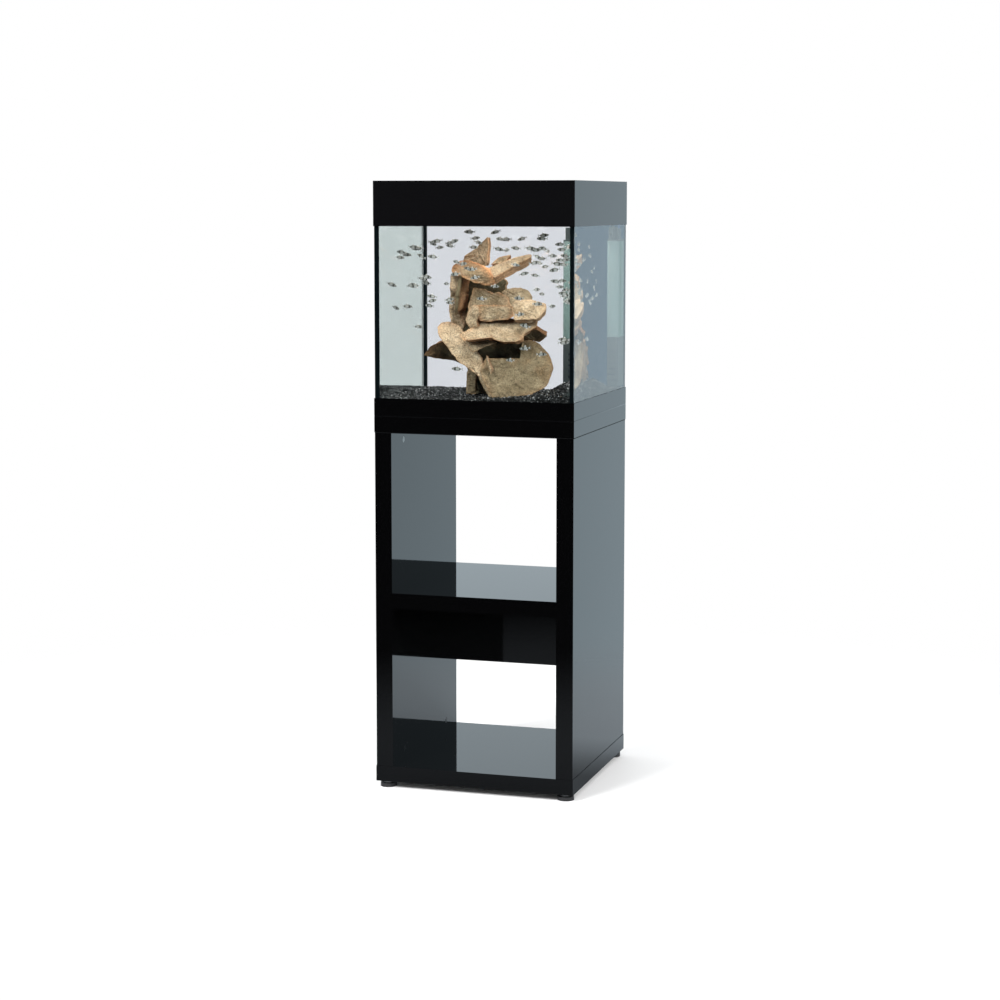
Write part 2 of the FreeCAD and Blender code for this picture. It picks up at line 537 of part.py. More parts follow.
cover_seat = box("cover_seat", ("-flap_x - panel_gap", "strip_back - panel_gap", "panel_low"),
                 ("flap_x + panel_gap", "cover_y + panel_gap", "hood_top + over"))
cover_hole = box("cover_hole", ("rim - flap_x", "strip_back + rim", "deck_low - over"),
                 ("flap_x - rim", "cover_y - rim", "hood_top"))
outlet = box("cable_outlet", ("half_width - flap_side - outlet_width", "half_depth - hood_wall - over",
                              "deck_low - outlet_height"),
             ("half_width - flap_side", "half_depth + over", "deck_low"))
pins = []
pin_holes = []
barrel_bores = []
for side, sx in SIDES:
    outward = sx + "X"
    root = (f"{sx} (flap_x + panel_gap / 2 - pin_half)", "hinge_y", "hinge_z")
    gate = (f"{sx} flap_x", "hinge_y", "hinge_z")
    pins.append(rod(f"pin_{side}", root, outward, "pin_radius", "2 * pin_half"))
    pin_holes.append(rod(f"pin_hole_{side}", gate, outward, "pin_radius", "pin_half + panel_gap / 2"))
    barrel_bores.append(rod(f"barrel_bore_{side}", shift(root, "-+"[sx == "-"] + "X", "over"), outward,
                            "pin_radius + running_clearance", "2 * pin_half"))
screws = []
screw_holes = []
for side, sx in SIDES:
    for end, at in (("front", "lamp_front + screw_inset"), ("rear", "lamp_back - screw_inset")):
        spot = (f"{sx} (lamp_x - screw_side)", at, "deck_low - lamp_wall")
        screws.append(rod(f"screw_{side}_{end}", spot, "+Z", "screw_radius", "screw_length"))
        screw_holes.append(rod(f"screw_hole_{side}_{end}", spot, "+Z", "screw_radius", "screw_length"))
hood_tools = [lip_room, ledge_room, hood_room, flap_seat, flap_hole, barrel_hole, cover_seat, cover_hole, outlet]
node("hood_frame", cut("hood", hood_blank, hood_tools + pin_holes + screw_holes))
node("flap_pins", group("pins", pins))

flap_plate = box("flap_plate", ("-flap_x", "flap_y", "panel_low"), ("flap_x", "hinge_y", "hood_top"))
barrel = rod("flap_barrel", ("-flap_x", "hinge_y", "hinge_z"), "+X", "barrel_radius", "2 * flap_x")
finger_notch = rod("finger_notch", ("0", "flap_y", "panel_low - over"), "+Z", "notch_radius", "flap_thick + 2 * over")
node("front_flap", cut("flap", fuse("flap_whole", [flap_plate, barrel]), [finger_notch] + barrel_bores))

cover_plate = box("cover_plate", ("-flap_x", "strip_back", "panel_low"), ("flap_x", "cover_y", "hood_top"))
cover_notch = rod("cover_notch", ("0", "cover_y", "panel_low - over"), "+Z", "notch_radius", "flap_thick + 2 * over")
node("rear_cover", cut("cover", cover_plate, [cover_notch]))

# Lamp: a channel under the deck's cross strip, with a strip of LEDs on its board behind a lens.
lamp_blank = box("lamp_blank", ("-lamp_x", "lamp_front", "lamp_low"), ("lamp_x", "lamp_back", "deck_low"))
lamp_room = box("lamp_room", ("-lamp_x - over", "lamp_front + lamp_wall", "lamp_low - over"),
                ("lamp_x + over", "lamp_back - lamp_wall", "deck_low - lamp_wall"))
node("lamp_housing", cut("lamp", lamp_blank, [lamp_room] + screw_holes))
board_high = "deck_low - lamp_wall - board_drop"
board_low = f"{board_high} - led_board_thick"
lamp_inner = ("lamp_front + lamp_wall", "lamp_back - lamp_wall")
node("led_board", box("led_strip", ("-lamp_x", lamp_inner[0], board_low), ("lamp_x", lamp_inner[1], board_high)))
leds = []
for index in range(SIZES["led_count"]):
    centre = f"(-lamp_x + (2 * lamp_x) * {2 * index + 1} / (2 * led_count))"
    middle = "(lamp_front + lamp_width / 2)"
    leds.append(box(f"led_{index}", (f"{centre} - led_size / 2", f"{middle} - led_size / 2",
                                     f"{board_low} - led_thick"),
                    (f"{centre} + led_size / 2", f"{middle} + led_size / 2", board_low)))
node("led_chips", group("leds", leds))
node("lamp_lens", box("lens", ("-lamp_x", lamp_inner[0], "lamp_low"), ("lamp_x", lamp_inner[1],
                                                                    "lamp_low + lens_thick")))
lamp_caps = [
    box("lamp_cap_left", ("-lamp_x - lamp_cap", "lamp_front", "lamp_low"), ("-lamp_x", "lamp_back", "deck_low")),
    box("lamp_cap_right", ("lamp_x", "lamp_front", "lamp_low"), ("lamp_x + lamp_cap", "lamp_back", "deck_low")),
]
node("lamp_end_caps", group("lamp_caps", lamp_caps))
node("lamp_screws", group("screws", screws))

# ---------------------------------------------------------------- check and write

doc.recompute()
for item in doc.Objects:
    if "Invalid" in item.State or "Error" in item.State:
        raise RuntimeError(f"{item.Name} did not build: {item.State}")
labels = [item.Label for item in nodes]
if len(set(labels)) != len(labels):
    raise RuntimeError("two pieces share a name")
for item in nodes:
    if item.Shape.isNull() or not item.Shape.isValid() or item.Shape.Volume <= 0:
        raise RuntimeError(f"{item.Label} has no valid solid")
os.makedirs("parts", exist_ok=True)
for item in nodes:
    item.Shape.exportStep(f"parts/{item.Label}.step")
    bounds = item.Shape.BoundBox
    print(f"{item.Label:26s} solids {len(item.Shape.Solids):3d}  volume {item.Shape.Volume / 1000:9.1f} cm3 "
          f" z {bounds.ZMin:7.1f} to {bounds.ZMax:7.1f}")
print(len(nodes), "pieces")
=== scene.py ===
"""A cube aquarium on its gloss black cabinet stand: the looks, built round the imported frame."""
import json
import math

import bpy
import numpy as np
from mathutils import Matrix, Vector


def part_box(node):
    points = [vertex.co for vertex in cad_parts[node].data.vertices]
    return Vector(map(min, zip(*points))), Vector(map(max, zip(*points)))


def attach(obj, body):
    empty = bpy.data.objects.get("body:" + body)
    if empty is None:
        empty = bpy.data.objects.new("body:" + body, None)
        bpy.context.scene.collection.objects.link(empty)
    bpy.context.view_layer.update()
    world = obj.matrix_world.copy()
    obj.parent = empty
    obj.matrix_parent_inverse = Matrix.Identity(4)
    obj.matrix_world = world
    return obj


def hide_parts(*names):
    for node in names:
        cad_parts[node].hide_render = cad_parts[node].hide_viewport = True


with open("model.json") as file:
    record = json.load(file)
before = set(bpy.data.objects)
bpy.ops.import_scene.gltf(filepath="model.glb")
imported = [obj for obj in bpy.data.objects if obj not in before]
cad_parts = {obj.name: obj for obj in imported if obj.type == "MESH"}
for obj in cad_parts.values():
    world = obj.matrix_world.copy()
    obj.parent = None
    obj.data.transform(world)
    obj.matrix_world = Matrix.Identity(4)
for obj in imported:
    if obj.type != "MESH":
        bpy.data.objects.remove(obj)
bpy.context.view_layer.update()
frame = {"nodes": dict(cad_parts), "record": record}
ROOT = "stand_and_tank"
MM = 0.001

# ---------------------------------------------------------------- places, read from the frame

pane_low, pane_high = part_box("right_glass")
WATER_X = pane_low.x
WATER_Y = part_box("rear_glass")[0].y
FLOOR_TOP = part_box("bottom_glass")[1].z
GRAVEL_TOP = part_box("gravel_bed")[1].z
FRAME_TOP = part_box("tank_base_frame")[1].z
GLASS_TOP = pane_high.z
WATER_TOP = GLASS_TOP - 13 * MM
# The stones' outlines and the fish's places hold at a depth of SIGHT_FROM, in mm. Elsewhere they are moved
# along the line of sight through the front pane, which in the water runs this far left and down for each step
# back.
SIGHT_LEFT, SIGHT_DOWN, SIGHT_FROM = 0.23, 0.085, -60

# ---------------------------------------------------------------- mesh helpers


def add_piece(name, points, faces, finish, body=ROOT, smooth=True):
    """A mesh object from arrays of points and faces, with one material, riding on a body."""
    mesh = bpy.data.meshes.new(name)
    faces = faces if isinstance(faces, list) else faces.tolist()
    mesh.from_pydata(np.asarray(points, float).tolist(), [], faces)
    mesh.polygons.foreach_set("use_smooth", np.full(len(mesh.polygons), smooth))
    mesh.materials.append(finish)
    mesh.validate()
    piece = bpy.data.objects.new(name, mesh)
    bpy.context.scene.collection.objects.link(piece)
    if body:
        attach(piece, body)
    return piece


def point_values(piece, name, values):
    """Store one number per point, for the material to read."""
    attribute = piece.data.attributes.new(name, "FLOAT", "POINT")
    attribute.data.foreach_set("value", np.asarray(values, np.float32).ravel())


def quads(rows, columns, wrap=False):
    """The faces of a grid of points; wrap joins its last column to its first."""
    row = np.arange(rows - 1)[:, None]
    column = np.arange(columns if wrap else columns - 1)[None, :]
    after = (column + 1) % columns
    corners = (row * columns + column, row * columns + after,
               (row + 1) * columns + after, (row + 1) * columns + column)
    return np.stack(np.broadcast_arrays(*corners), -1).reshape(-1, 4)


def block(top, floor):
    """A block's points and faces: a square grid of points on top, the same grid laid flat at the floor's
    level, and a wall round the rim that joins the two."""
    count = len(top)
    below = top.copy()
    below[..., 2] = floor
    points = np.concatenate([top.reshape(-1, 3), below.reshape(-1, 3)])
    faces = quads(count, count)
    under = faces[:, ::-1] + count * count
    edge = np.concatenate([np.arange(count), np.arange(2 * count - 1, count * count, count),
                           np.arange(count * count - 2, count * (count - 1) - 1, -1),
                           np.arange(count * (count - 2), 0, -count)])
    after = np.roll(edge, -1)
    walls = np.stack([edge, edge + count * count, after + count * count, after], -1)
    return points, np.concatenate([faces, under, walls])


def ripple(points, size, seed, waves=14):
    """Soft noise between about -1 and 1: a sum of sine waves near that wavelength, in seeded directions."""
    draw = np.random.default_rng(seed)
    ways = draw.normal(size=(waves, 3))
    ways /= np.linalg.norm(ways, axis=1)[:, None]
    ways *= (2 * math.pi / size) * draw.uniform(0.6, 1.7, waves)[:, None]
    phases = draw.uniform(0, 2 * math.pi, waves)
    return np.sin(points @ ways.T + phases).sum(-1) / math.sqrt(waves) * 0.9


def turned(lean, tilt, turn):
    """The rotation that leans about X, then tilts about Y, then turns about Z, from degrees."""
    lean, tilt, turn = np.radians((lean, tilt, turn))
    about_x = np.array([[1, 0, 0], [0, math.cos(lean), -math.sin(lean)], [0, math.sin(lean), math.cos(lean)]])
    about_y = np.array([[math.cos(tilt), 0, math.sin(tilt)], [0, 1, 0], [-math.sin(tilt), 0, math.cos(tilt)]])
    about_z = np.array([[math.cos(turn), -math.sin(turn), 0], [math.sin(turn), math.cos(turn), 0], [0, 0, 1]])
    return about_z @ about_y @ about_x


# ---------------------------------------------------------------- material helpers


class Finish:
    """A material on the bench: its node tree, and short ways to add nodes and join them."""

    def __init__(self, name):
        """Start an empty node tree with its output, and Object coordinates to lay patterns on."""
        self.material = bpy.data.materials.new(name)
        self.material.use_nodes = True
        self.tree = self.material.node_tree
        self.tree.nodes.clear()
        self.out = self.add("ShaderNodeOutputMaterial")
        self.place = self.add("ShaderNodeTexCoord").outputs["Object"]

    def add(self, kind, **settings):
        """A node with some of its sockets or properties set; a socket's value may be another's output."""
        made = self.tree.nodes.new(kind)
        for name, value in settings.items():
            socket = made.inputs.get(name.replace("_", " ")) if not hasattr(made, name) else None
            if socket is None:
                setattr(made, name, value)
            elif isinstance(value, bpy.types.NodeSocket):
                self.tree.links.new(value, socket)
            else:
                socket.default_value = value
        return made

    def join(self, output, socket):
        """Link an output to a socket."""
        self.tree.links.new(output, socket)

    def shader(self, **settings):
        """The principled shader; keys are its socket names with underscores."""
        made = self.tree.nodes.new("ShaderNodeBsdfPrincipled")
        for name, value in settings.items():
            socket = made.inputs[name.replace("_", " ")]
            if isinstance(value, bpy.types.NodeSocket):
                self.tree.links.new(value, socket)
            else:
                socket.default_value = value
        return made

    def stretch(self, scale, source=None):
        """The coordinates scaled along each axis."""
        mapping = self.add("ShaderNodeMapping")
        self.join(source or self.place, mapping.inputs["Vector"])
        mapping.inputs["Scale"].default_value = scale
        return mapping.outputs["Vector"]

    def noise(self, scale, detail=3.0, roughness=0.5, source=None):
        """Cloudy noise from 0 to 1."""
        made = self.add("ShaderNodeTexNoise")
        self.join(source or self.place, made.inputs["Vector"])
        made.inputs["Scale"].default_value = scale
        made.inputs["Detail"].default_value = detail
        made.inputs["Roughness"].default_value = roughness
        return made.outputs["Fac"]

    def cells(self, scale, source=None, output="Color"):
        """Voronoi cells: their colour, or the distance to their middle."""
        made = self.add("ShaderNodeTexVoronoi")
        self.join(source or self.place, made.inputs["Vector"])
        made.inputs["Scale"].default_value = scale
        return made.outputs[output]

    def value(self, name):
        """A number stored on the points of the mesh."""
        made = self.add("ShaderNodeAttribute")
        made.attribute_name = name
        return made.outputs["Fac"]

    def ramp(self, source, *stops):
        """A colour for each level of a value; stops are (level, grey or rgb)."""
        made = self.add("ShaderNodeValToRGB")
        self.join(source, made.inputs["Fac"])
        marks = made.color_ramp.elements
        while len(marks) < len(stops):
            marks.new(0.5)
        for mark, (level, colour) in zip(marks, stops):
            mark.position = level
            rgb = (colour,) * 3 if isinstance(colour, (int, float)) else colour
            mark.color = (*rgb, 1)
        return made.outputs["Color"]

    def blend(self, share, first, second, mode="MIX"):
        """Mix two colours by a share from 0 to 1."""
        made = self.add("ShaderNodeMix")
        made.data_type = "RGBA"
        made.blend_type = mode
        for value, socket in ((share, made.inputs[0]), (first, made.inputs[6]), (second, made.inputs[7])):
            if isinstance(value, bpy.types.NodeSocket):
                self.join(value, socket)
            else:
                socket.default_value = value if isinstance(value, float) else (*value, 1)
        return made.outputs[2]

    def span(self, source, low, high):
        """Carry a value from 0..1 to low..high."""
        made = self.add("ShaderNodeMapRange")
        self.join(source, made.inputs["Value"])
        made.inputs["To Min"].default_value = low
        made.inputs["To Max"].default_value = high
        return made.outputs["Result"]

    def bump(self, height, strength, distance, under=None):
        """A bumped normal, on top of another one if it is given."""
        made = self.add("ShaderNodeBump")
        self.join(height, made.inputs["Height"])
        made.inputs["Strength"].default_value = strength
        made.inputs["Distance"].default_value = distance
        if under is not None:
            self.join(under, made.inputs["Normal"])
        return made.outputs["Normal"]

    def done(self, shader):
        """Put the shader on the output and return the material."""
        self.join(shader.outputs[0], self.out.inputs["Surface"])
        return self.material


def gloss_black(name, base, smoothness, peel, ior=1.5, tint=(1, 1, 1)):
    """Black lacquer or moulded gloss plastic: a faint orange peel, hazy wipe marks and a little dust."""
    finish = Finish(name)
    haze = finish.noise(9, 4)
    dust = finish.ramp(finish.noise(1400, 1), (0.70, 0.0), (0.78, 1.0))
    colour = finish.blend(dust, (base, base, base * 1.15), (0.006, 0.006, 0.0062))
    rough = finish.span(haze, smoothness, smoothness + 0.05)
    peeled = finish.bump(finish.noise(420, 2), peel, 0.0002)
    return finish.done(finish.shader(Base_Color=colour, Roughness=rough, Normal=peeled, IOR=ior,
                                     Specular_Tint=(*tint, 1)))


def moulded(name, colour, rough, grain=900):
    """Moulded plastic or rubber with a fine spark texture and slightly uneven colour."""
    finish = Finish(name)
    cloudy = finish.noise(30, 4)
    dark = tuple(c * 0.75 for c in colour)
    shade = finish.blend(cloudy, dark, colour)
    roughness = finish.span(finish.noise(60, 3), rough - 0.06, rough + 0.08)
    texture = finish.bump(finish.noise(grain, 2), 0.25, 0.0003)
    return finish.done(finish.shader(Base_Color=shade, Roughness=roughness, Normal=texture))


def brushed(name, colour, rough, along=(1, 1, 24)):
    """Plated or drawn metal: fine lines across one axis, and a dull bloom."""
    finish = Finish(name)
    lines = finish.noise(220, 3, source=finish.stretch(along))
    shade = finish.blend(finish.noise(40, 3), tuple(c * 0.8 for c in colour), colour)
    roughness = finish.span(lines, rough, rough + 0.2)
    texture = finish.bump(lines, 0.15, 0.0002)
    return finish.done(finish.shader(Base_Color=shade, Metallic=1.0, Roughness=roughness, Normal=texture))


def capped_zinc():
    """Cams of zinc. Those below the middle shelf have black cover caps."""
    finish = Finish("zinc_cams")
    apart = finish.add("ShaderNodeSeparateXYZ")
    finish.join(finish.place, apart.inputs[0])
    bare = finish.ramp(apart.outputs["Z"], (0.44, 0.0), (0.46, 1.0))
    metal = finish.blend(finish.noise(140, 3), (0.22, 0.22, 0.215), (0.36, 0.36, 0.35))
    shade = finish.blend(bare, (0.004, 0.004, 0.0045), metal)
    texture = finish.bump(finish.noise(700, 2), 0.25, 0.0002)
    return finish.done(finish.shader(Base_Color=shade, Metallic=bare, Roughness=finish.span(
        finish.noise(90, 3), 0.28, 0.42), Normal=texture))


def see_through(name, tint, ior, rough=0.0, shade=(1, 1, 1), clearness=1.0, rib=None):
    """Glass, water or clear plastic that refracts, and that lets lamps light what is behind it. Faint wipe
    marks change its tint. A rib is an upright moulded line: its middle and half its width along Y, and its
    colour."""
    finish = Finish(name)
    body = finish.blend(finish.noise(14, 4), tuple(c * 0.97 for c in tint), tint)
    if rib:
        middle, half, colour = rib
        apart = finish.add("ShaderNodeSeparateXYZ")
        finish.join(finish.place, apart.inputs[0])
        line = finish.ramp(apart.outputs["Y"], (middle - half - 0.003, 0.0), (middle - half, 1.0),
                           (middle + half, 1.0), (middle + half + 0.003, 0.0))
        body = finish.blend(line, body, colour)
    glass = finish.shader(Base_Color=body, Roughness=rough, IOR=ior, Transmission_Weight=clearness)
    clear = finish.add("ShaderNodeBsdfTransparent")
    clear.inputs["Color"].default_value = (*shade, 1)
    path = finish.add("ShaderNodeLightPath")
    mix = finish.add("ShaderNodeMixShader")
    finish.join(path.outputs["Is Shadow Ray"], mix.inputs[0])
    finish.join(glass.outputs[0], mix.inputs[1])
    finish.join(clear.outputs[0], mix.inputs[2])
    return finish.done(mix)


def beech():
    """Pale turned beech: long grain lines with short darker flecks."""
    finish = Finish("beech_wood")
    grain = finish.noise(90, 5, source=finish.stretch((1, 1, 0.15)))
    shade = finish.ramp(grain, (0.3, (0.42, 0.25, 0.12)), (0.7, (0.72, 0.5, 0.28)))
    return finish.done(finish.shader(Base_Color=shade, Roughness=0.6, Normal=finish.bump(grain, 0.3, 0.0004)))


def foam(name, colour, pore):
    """Open foam: round pores, with painted shade inside them."""
    finish = Finish(name)
    pores = finish.cells(pore, output="Distance")
    shade = finish.ramp(pores, (0.1, tuple(c * 0.3 for c in colour)), (0.5, colour))
    return finish.done(finish.shader(Base_Color=shade, Roughness=0.95, Normal=finish.bump(pores, 0.8, 0.001)))


def sandstone():
    """Bedded sandstone: mottled faces from khaki to cream, rusty layers on the broken edges, painted shade in
    creases, and a dark olive of algae tint and painted shade on the sheltered stones. How much of each is
    stored on every stone."""
    finish = Finish("bedded_sandstone")
    mottle = finish.noise(34, 6, 0.62)
    khaki = finish.ramp(mottle, (0.3, (0.12, 0.085, 0.045)), (0.5, (0.22, 0.165, 0.095)),
                        (0.7, (0.33, 0.255, 0.15)))
    cream = finish.ramp(mottle, (0.3, (0.32, 0.22, 0.13)), (0.5, (0.48, 0.36, 0.235)),
                        (0.7, (0.62, 0.50, 0.35)))
    face = finish.blend(finish.value("pale"), khaki, cream)
    beds = finish.add("ShaderNodeTexNoise")
    beds.noise_dimensions = "1D"
    beds.inputs["Scale"].default_value = 0.35
    beds.inputs["Detail"].default_value = 3
    wobble = finish.add("ShaderNodeMath", operation="MULTIPLY_ADD")
    finish.join(finish.noise(22, 3), wobble.inputs[0])
    wobble.inputs[1].default_value = 7.0
    finish.join(finish.value("strata"), wobble.inputs[2])
    finish.join(wobble.outputs[0], beds.inputs["W"])
    bands = finish.ramp(beds.outputs["Fac"], (0.3, (0.14, 0.06, 0.03)), (0.45, (0.38, 0.16, 0.07)),
                        (0.6, (0.55, 0.29, 0.14)), (0.75, (0.64, 0.44, 0.27)))
    colour = finish.blend(finish.value("rim"), face, bands)
    # Algae tint and painted shade: a dark olive, mixed in by the stored "below" value, stands partly for algae
    # and partly for the shade in the recesses and under the overhangs.
    algae_and_shade = finish.ramp(finish.noise(16, 4), (0.35, (0.030, 0.030, 0.018)), (0.65, (0.13, 0.115, 0.07)))
    colour = finish.blend(finish.value("below"), colour, algae_and_shade)
    stains = finish.ramp(finish.noise(11, 5, 0.65), (0.56, 0.0), (0.70, 0.45))
    colour = finish.blend(stains, colour, (0.34, 0.20, 0.10))
    # Painted shade in creases: thin dark lines that stand in for the shade inside cracks of the stone.
    painted_crease_shade = finish.ramp(finish.noise(13, 5, 0.55), (0.482, 0.0), (0.5, 0.45), (0.518, 0.0))
    colour = finish.blend(painted_crease_shade, colour, (0.07, 0.045, 0.025))
    grain = finish.ramp(finish.noise(330, 3, 0.7), (0.40, 0.65), (0.54, 0.0))
    colour = finish.blend(grain, colour, (0.06, 0.045, 0.03))
    rough = finish.bump(finish.noise(60, 5, 0.6), 0.8, 0.0040)
    rough = finish.bump(finish.noise(240, 5, 0.65), 0.8, 0.0018, rough)
    return finish.done(finish.shader(Base_Color=colour, Roughness=0.85, Normal=rough))


def wet_gravel():
    """Black basalt grains with a few grey and white ones."""
    finish = Finish("wet_basalt")
    shade = finish.ramp(finish.value("grain"), (0.0, 0.003), (0.5, 0.010), (0.75, 0.025), (0.92, 0.09),
                        (1.0, 0.4))
    return finish.done(finish.shader(Base_Color=shade, Roughness=0.35, Normal=finish.bump(
        finish.noise(600, 3), 0.4, 0.0004)))


def fish_skin():
    """Silver scales with an olive back, dark marks on the side, and reddish fins."""
    finish = Finish("silver_fish")
    tone = finish.value("tone")
    scales = finish.cells(1400, output="Distance")
    shade = finish.ramp(tone, (0.0, (0.012, 0.012, 0.014)), (0.2, (0.10, 0.10, 0.08)),
                        (0.4, (0.22, 0.22, 0.20)), (0.6, (0.42, 0.42, 0.41)),
                        (0.8, (0.85, 0.83, 0.82)), (0.9, (0.36, 0.14, 0.12)), (1.0, (0.25, 0.05, 0.05)))
    ridges = finish.bump(scales, 0.3, 0.0004)
    return finish.done(finish.shader(Base_Color=shade, Roughness=0.3, Normal=ridges))


# ---------------------------------------------------------------- finishes of the CAD pieces

LACQUER = gloss_black("board_lacquer", 0.0008, 0.02, 0.02, 1.42)
HOOD_PLASTIC = gloss_black("hood_gloss_plastic", 0.0022, 0.05, 0.02, 1.36, (1, 0.85, 0.75))
FRAME_PLASTIC = gloss_black("frame_gloss_plastic", 0.0008, 0.05, 0.02, 1.42)
ZINC = brushed("zinc_plate", (0.62, 0.62, 0.60), 0.25)
PLATED = brushed("foot_steel", (0.72, 0.72, 0.70), 0.22)
ALUMINIUM = brushed("anodised_aluminium", (0.82, 0.82, 0.83), 0.3, (24, 1, 1))
GLASS = see_through("float_glass", (0.985, 1.0, 0.995), 1.5, 0.0, (0.95, 0.98, 0.97))
WATER = see_through("clear_water", (0.985, 0.99, 1.0), 1.333, 0.0, (0.98, 0.99, 1.0))
ACRYLIC = see_through("clear_acrylic", (0.29, 0.37, 0.36), 1.36, 0.18, (0.7, 0.8, 0.78), 0.72,
                      (0.203, 0.004, (0.08, 0.20, 0.13)))
FINISHES = {
    "gloss_black_board": LACQUER,
    "cam_steel": capped_zinc(),
    "beech_dowel": beech(),
    "foot_steel": PLATED,
    "foot_plastic": moulded("foot_pad_plastic", (0.03, 0.03, 0.032), 0.45),
    "foam": foam("black_mat_foam", (0.004, 0.004, 0.005), 500),
    "gloss_black_plastic": HOOD_PLASTIC,
    "tank_glass": GLASS,
    "silicone": moulded("black_silicone", (0.002, 0.004, 0.005), 0.32, 300),
    "filter_black": moulded("filter_plastic", (0.055, 0.068, 0.070), 0.4),
    "sponge": foam("filter_foam", (0.05, 0.06, 0.08), 260),
    "clear_plastic": ACRYLIC,
    "rubber_cup": moulded("suction_rubber", (0.35, 0.4, 0.4), 0.35),
    "ceramic_pin": moulded("ceramic_pin", (0.85, 0.85, 0.82), 0.2),
    "impeller_plastic": moulded("blue_plastic", (0.05, 0.12, 0.32), 0.35),
    "heater_glass": see_through("heater_tube_glass", (0.9, 0.95, 0.93), 1.47, 0.03, (0.85, 0.9, 0.9)),
    "lamp_aluminium": ALUMINIUM,
    "circuit_board": moulded("white_circuit_board", (0.85, 0.85, 0.83), 0.4),
    "led_yellow": moulded("led_phosphor", (0.9, 0.78, 0.3), 0.4),
    "lens": see_through("frosted_lens", (0.95, 0.97, 1.0), 1.45, 0.35, (0.9, 0.9, 0.9)),
    "steel_pin": ZINC,
}
for part in frame["record"]["subparts"]:
    finish = FINISHES.get(part["material_slot"])
    if finish is not None:
        slots = frame["nodes"][part["node"]].data.materials
        slots.clear()
        slots.append(FRAME_PLASTIC if part["node"] == "tank_base_frame" else finish)
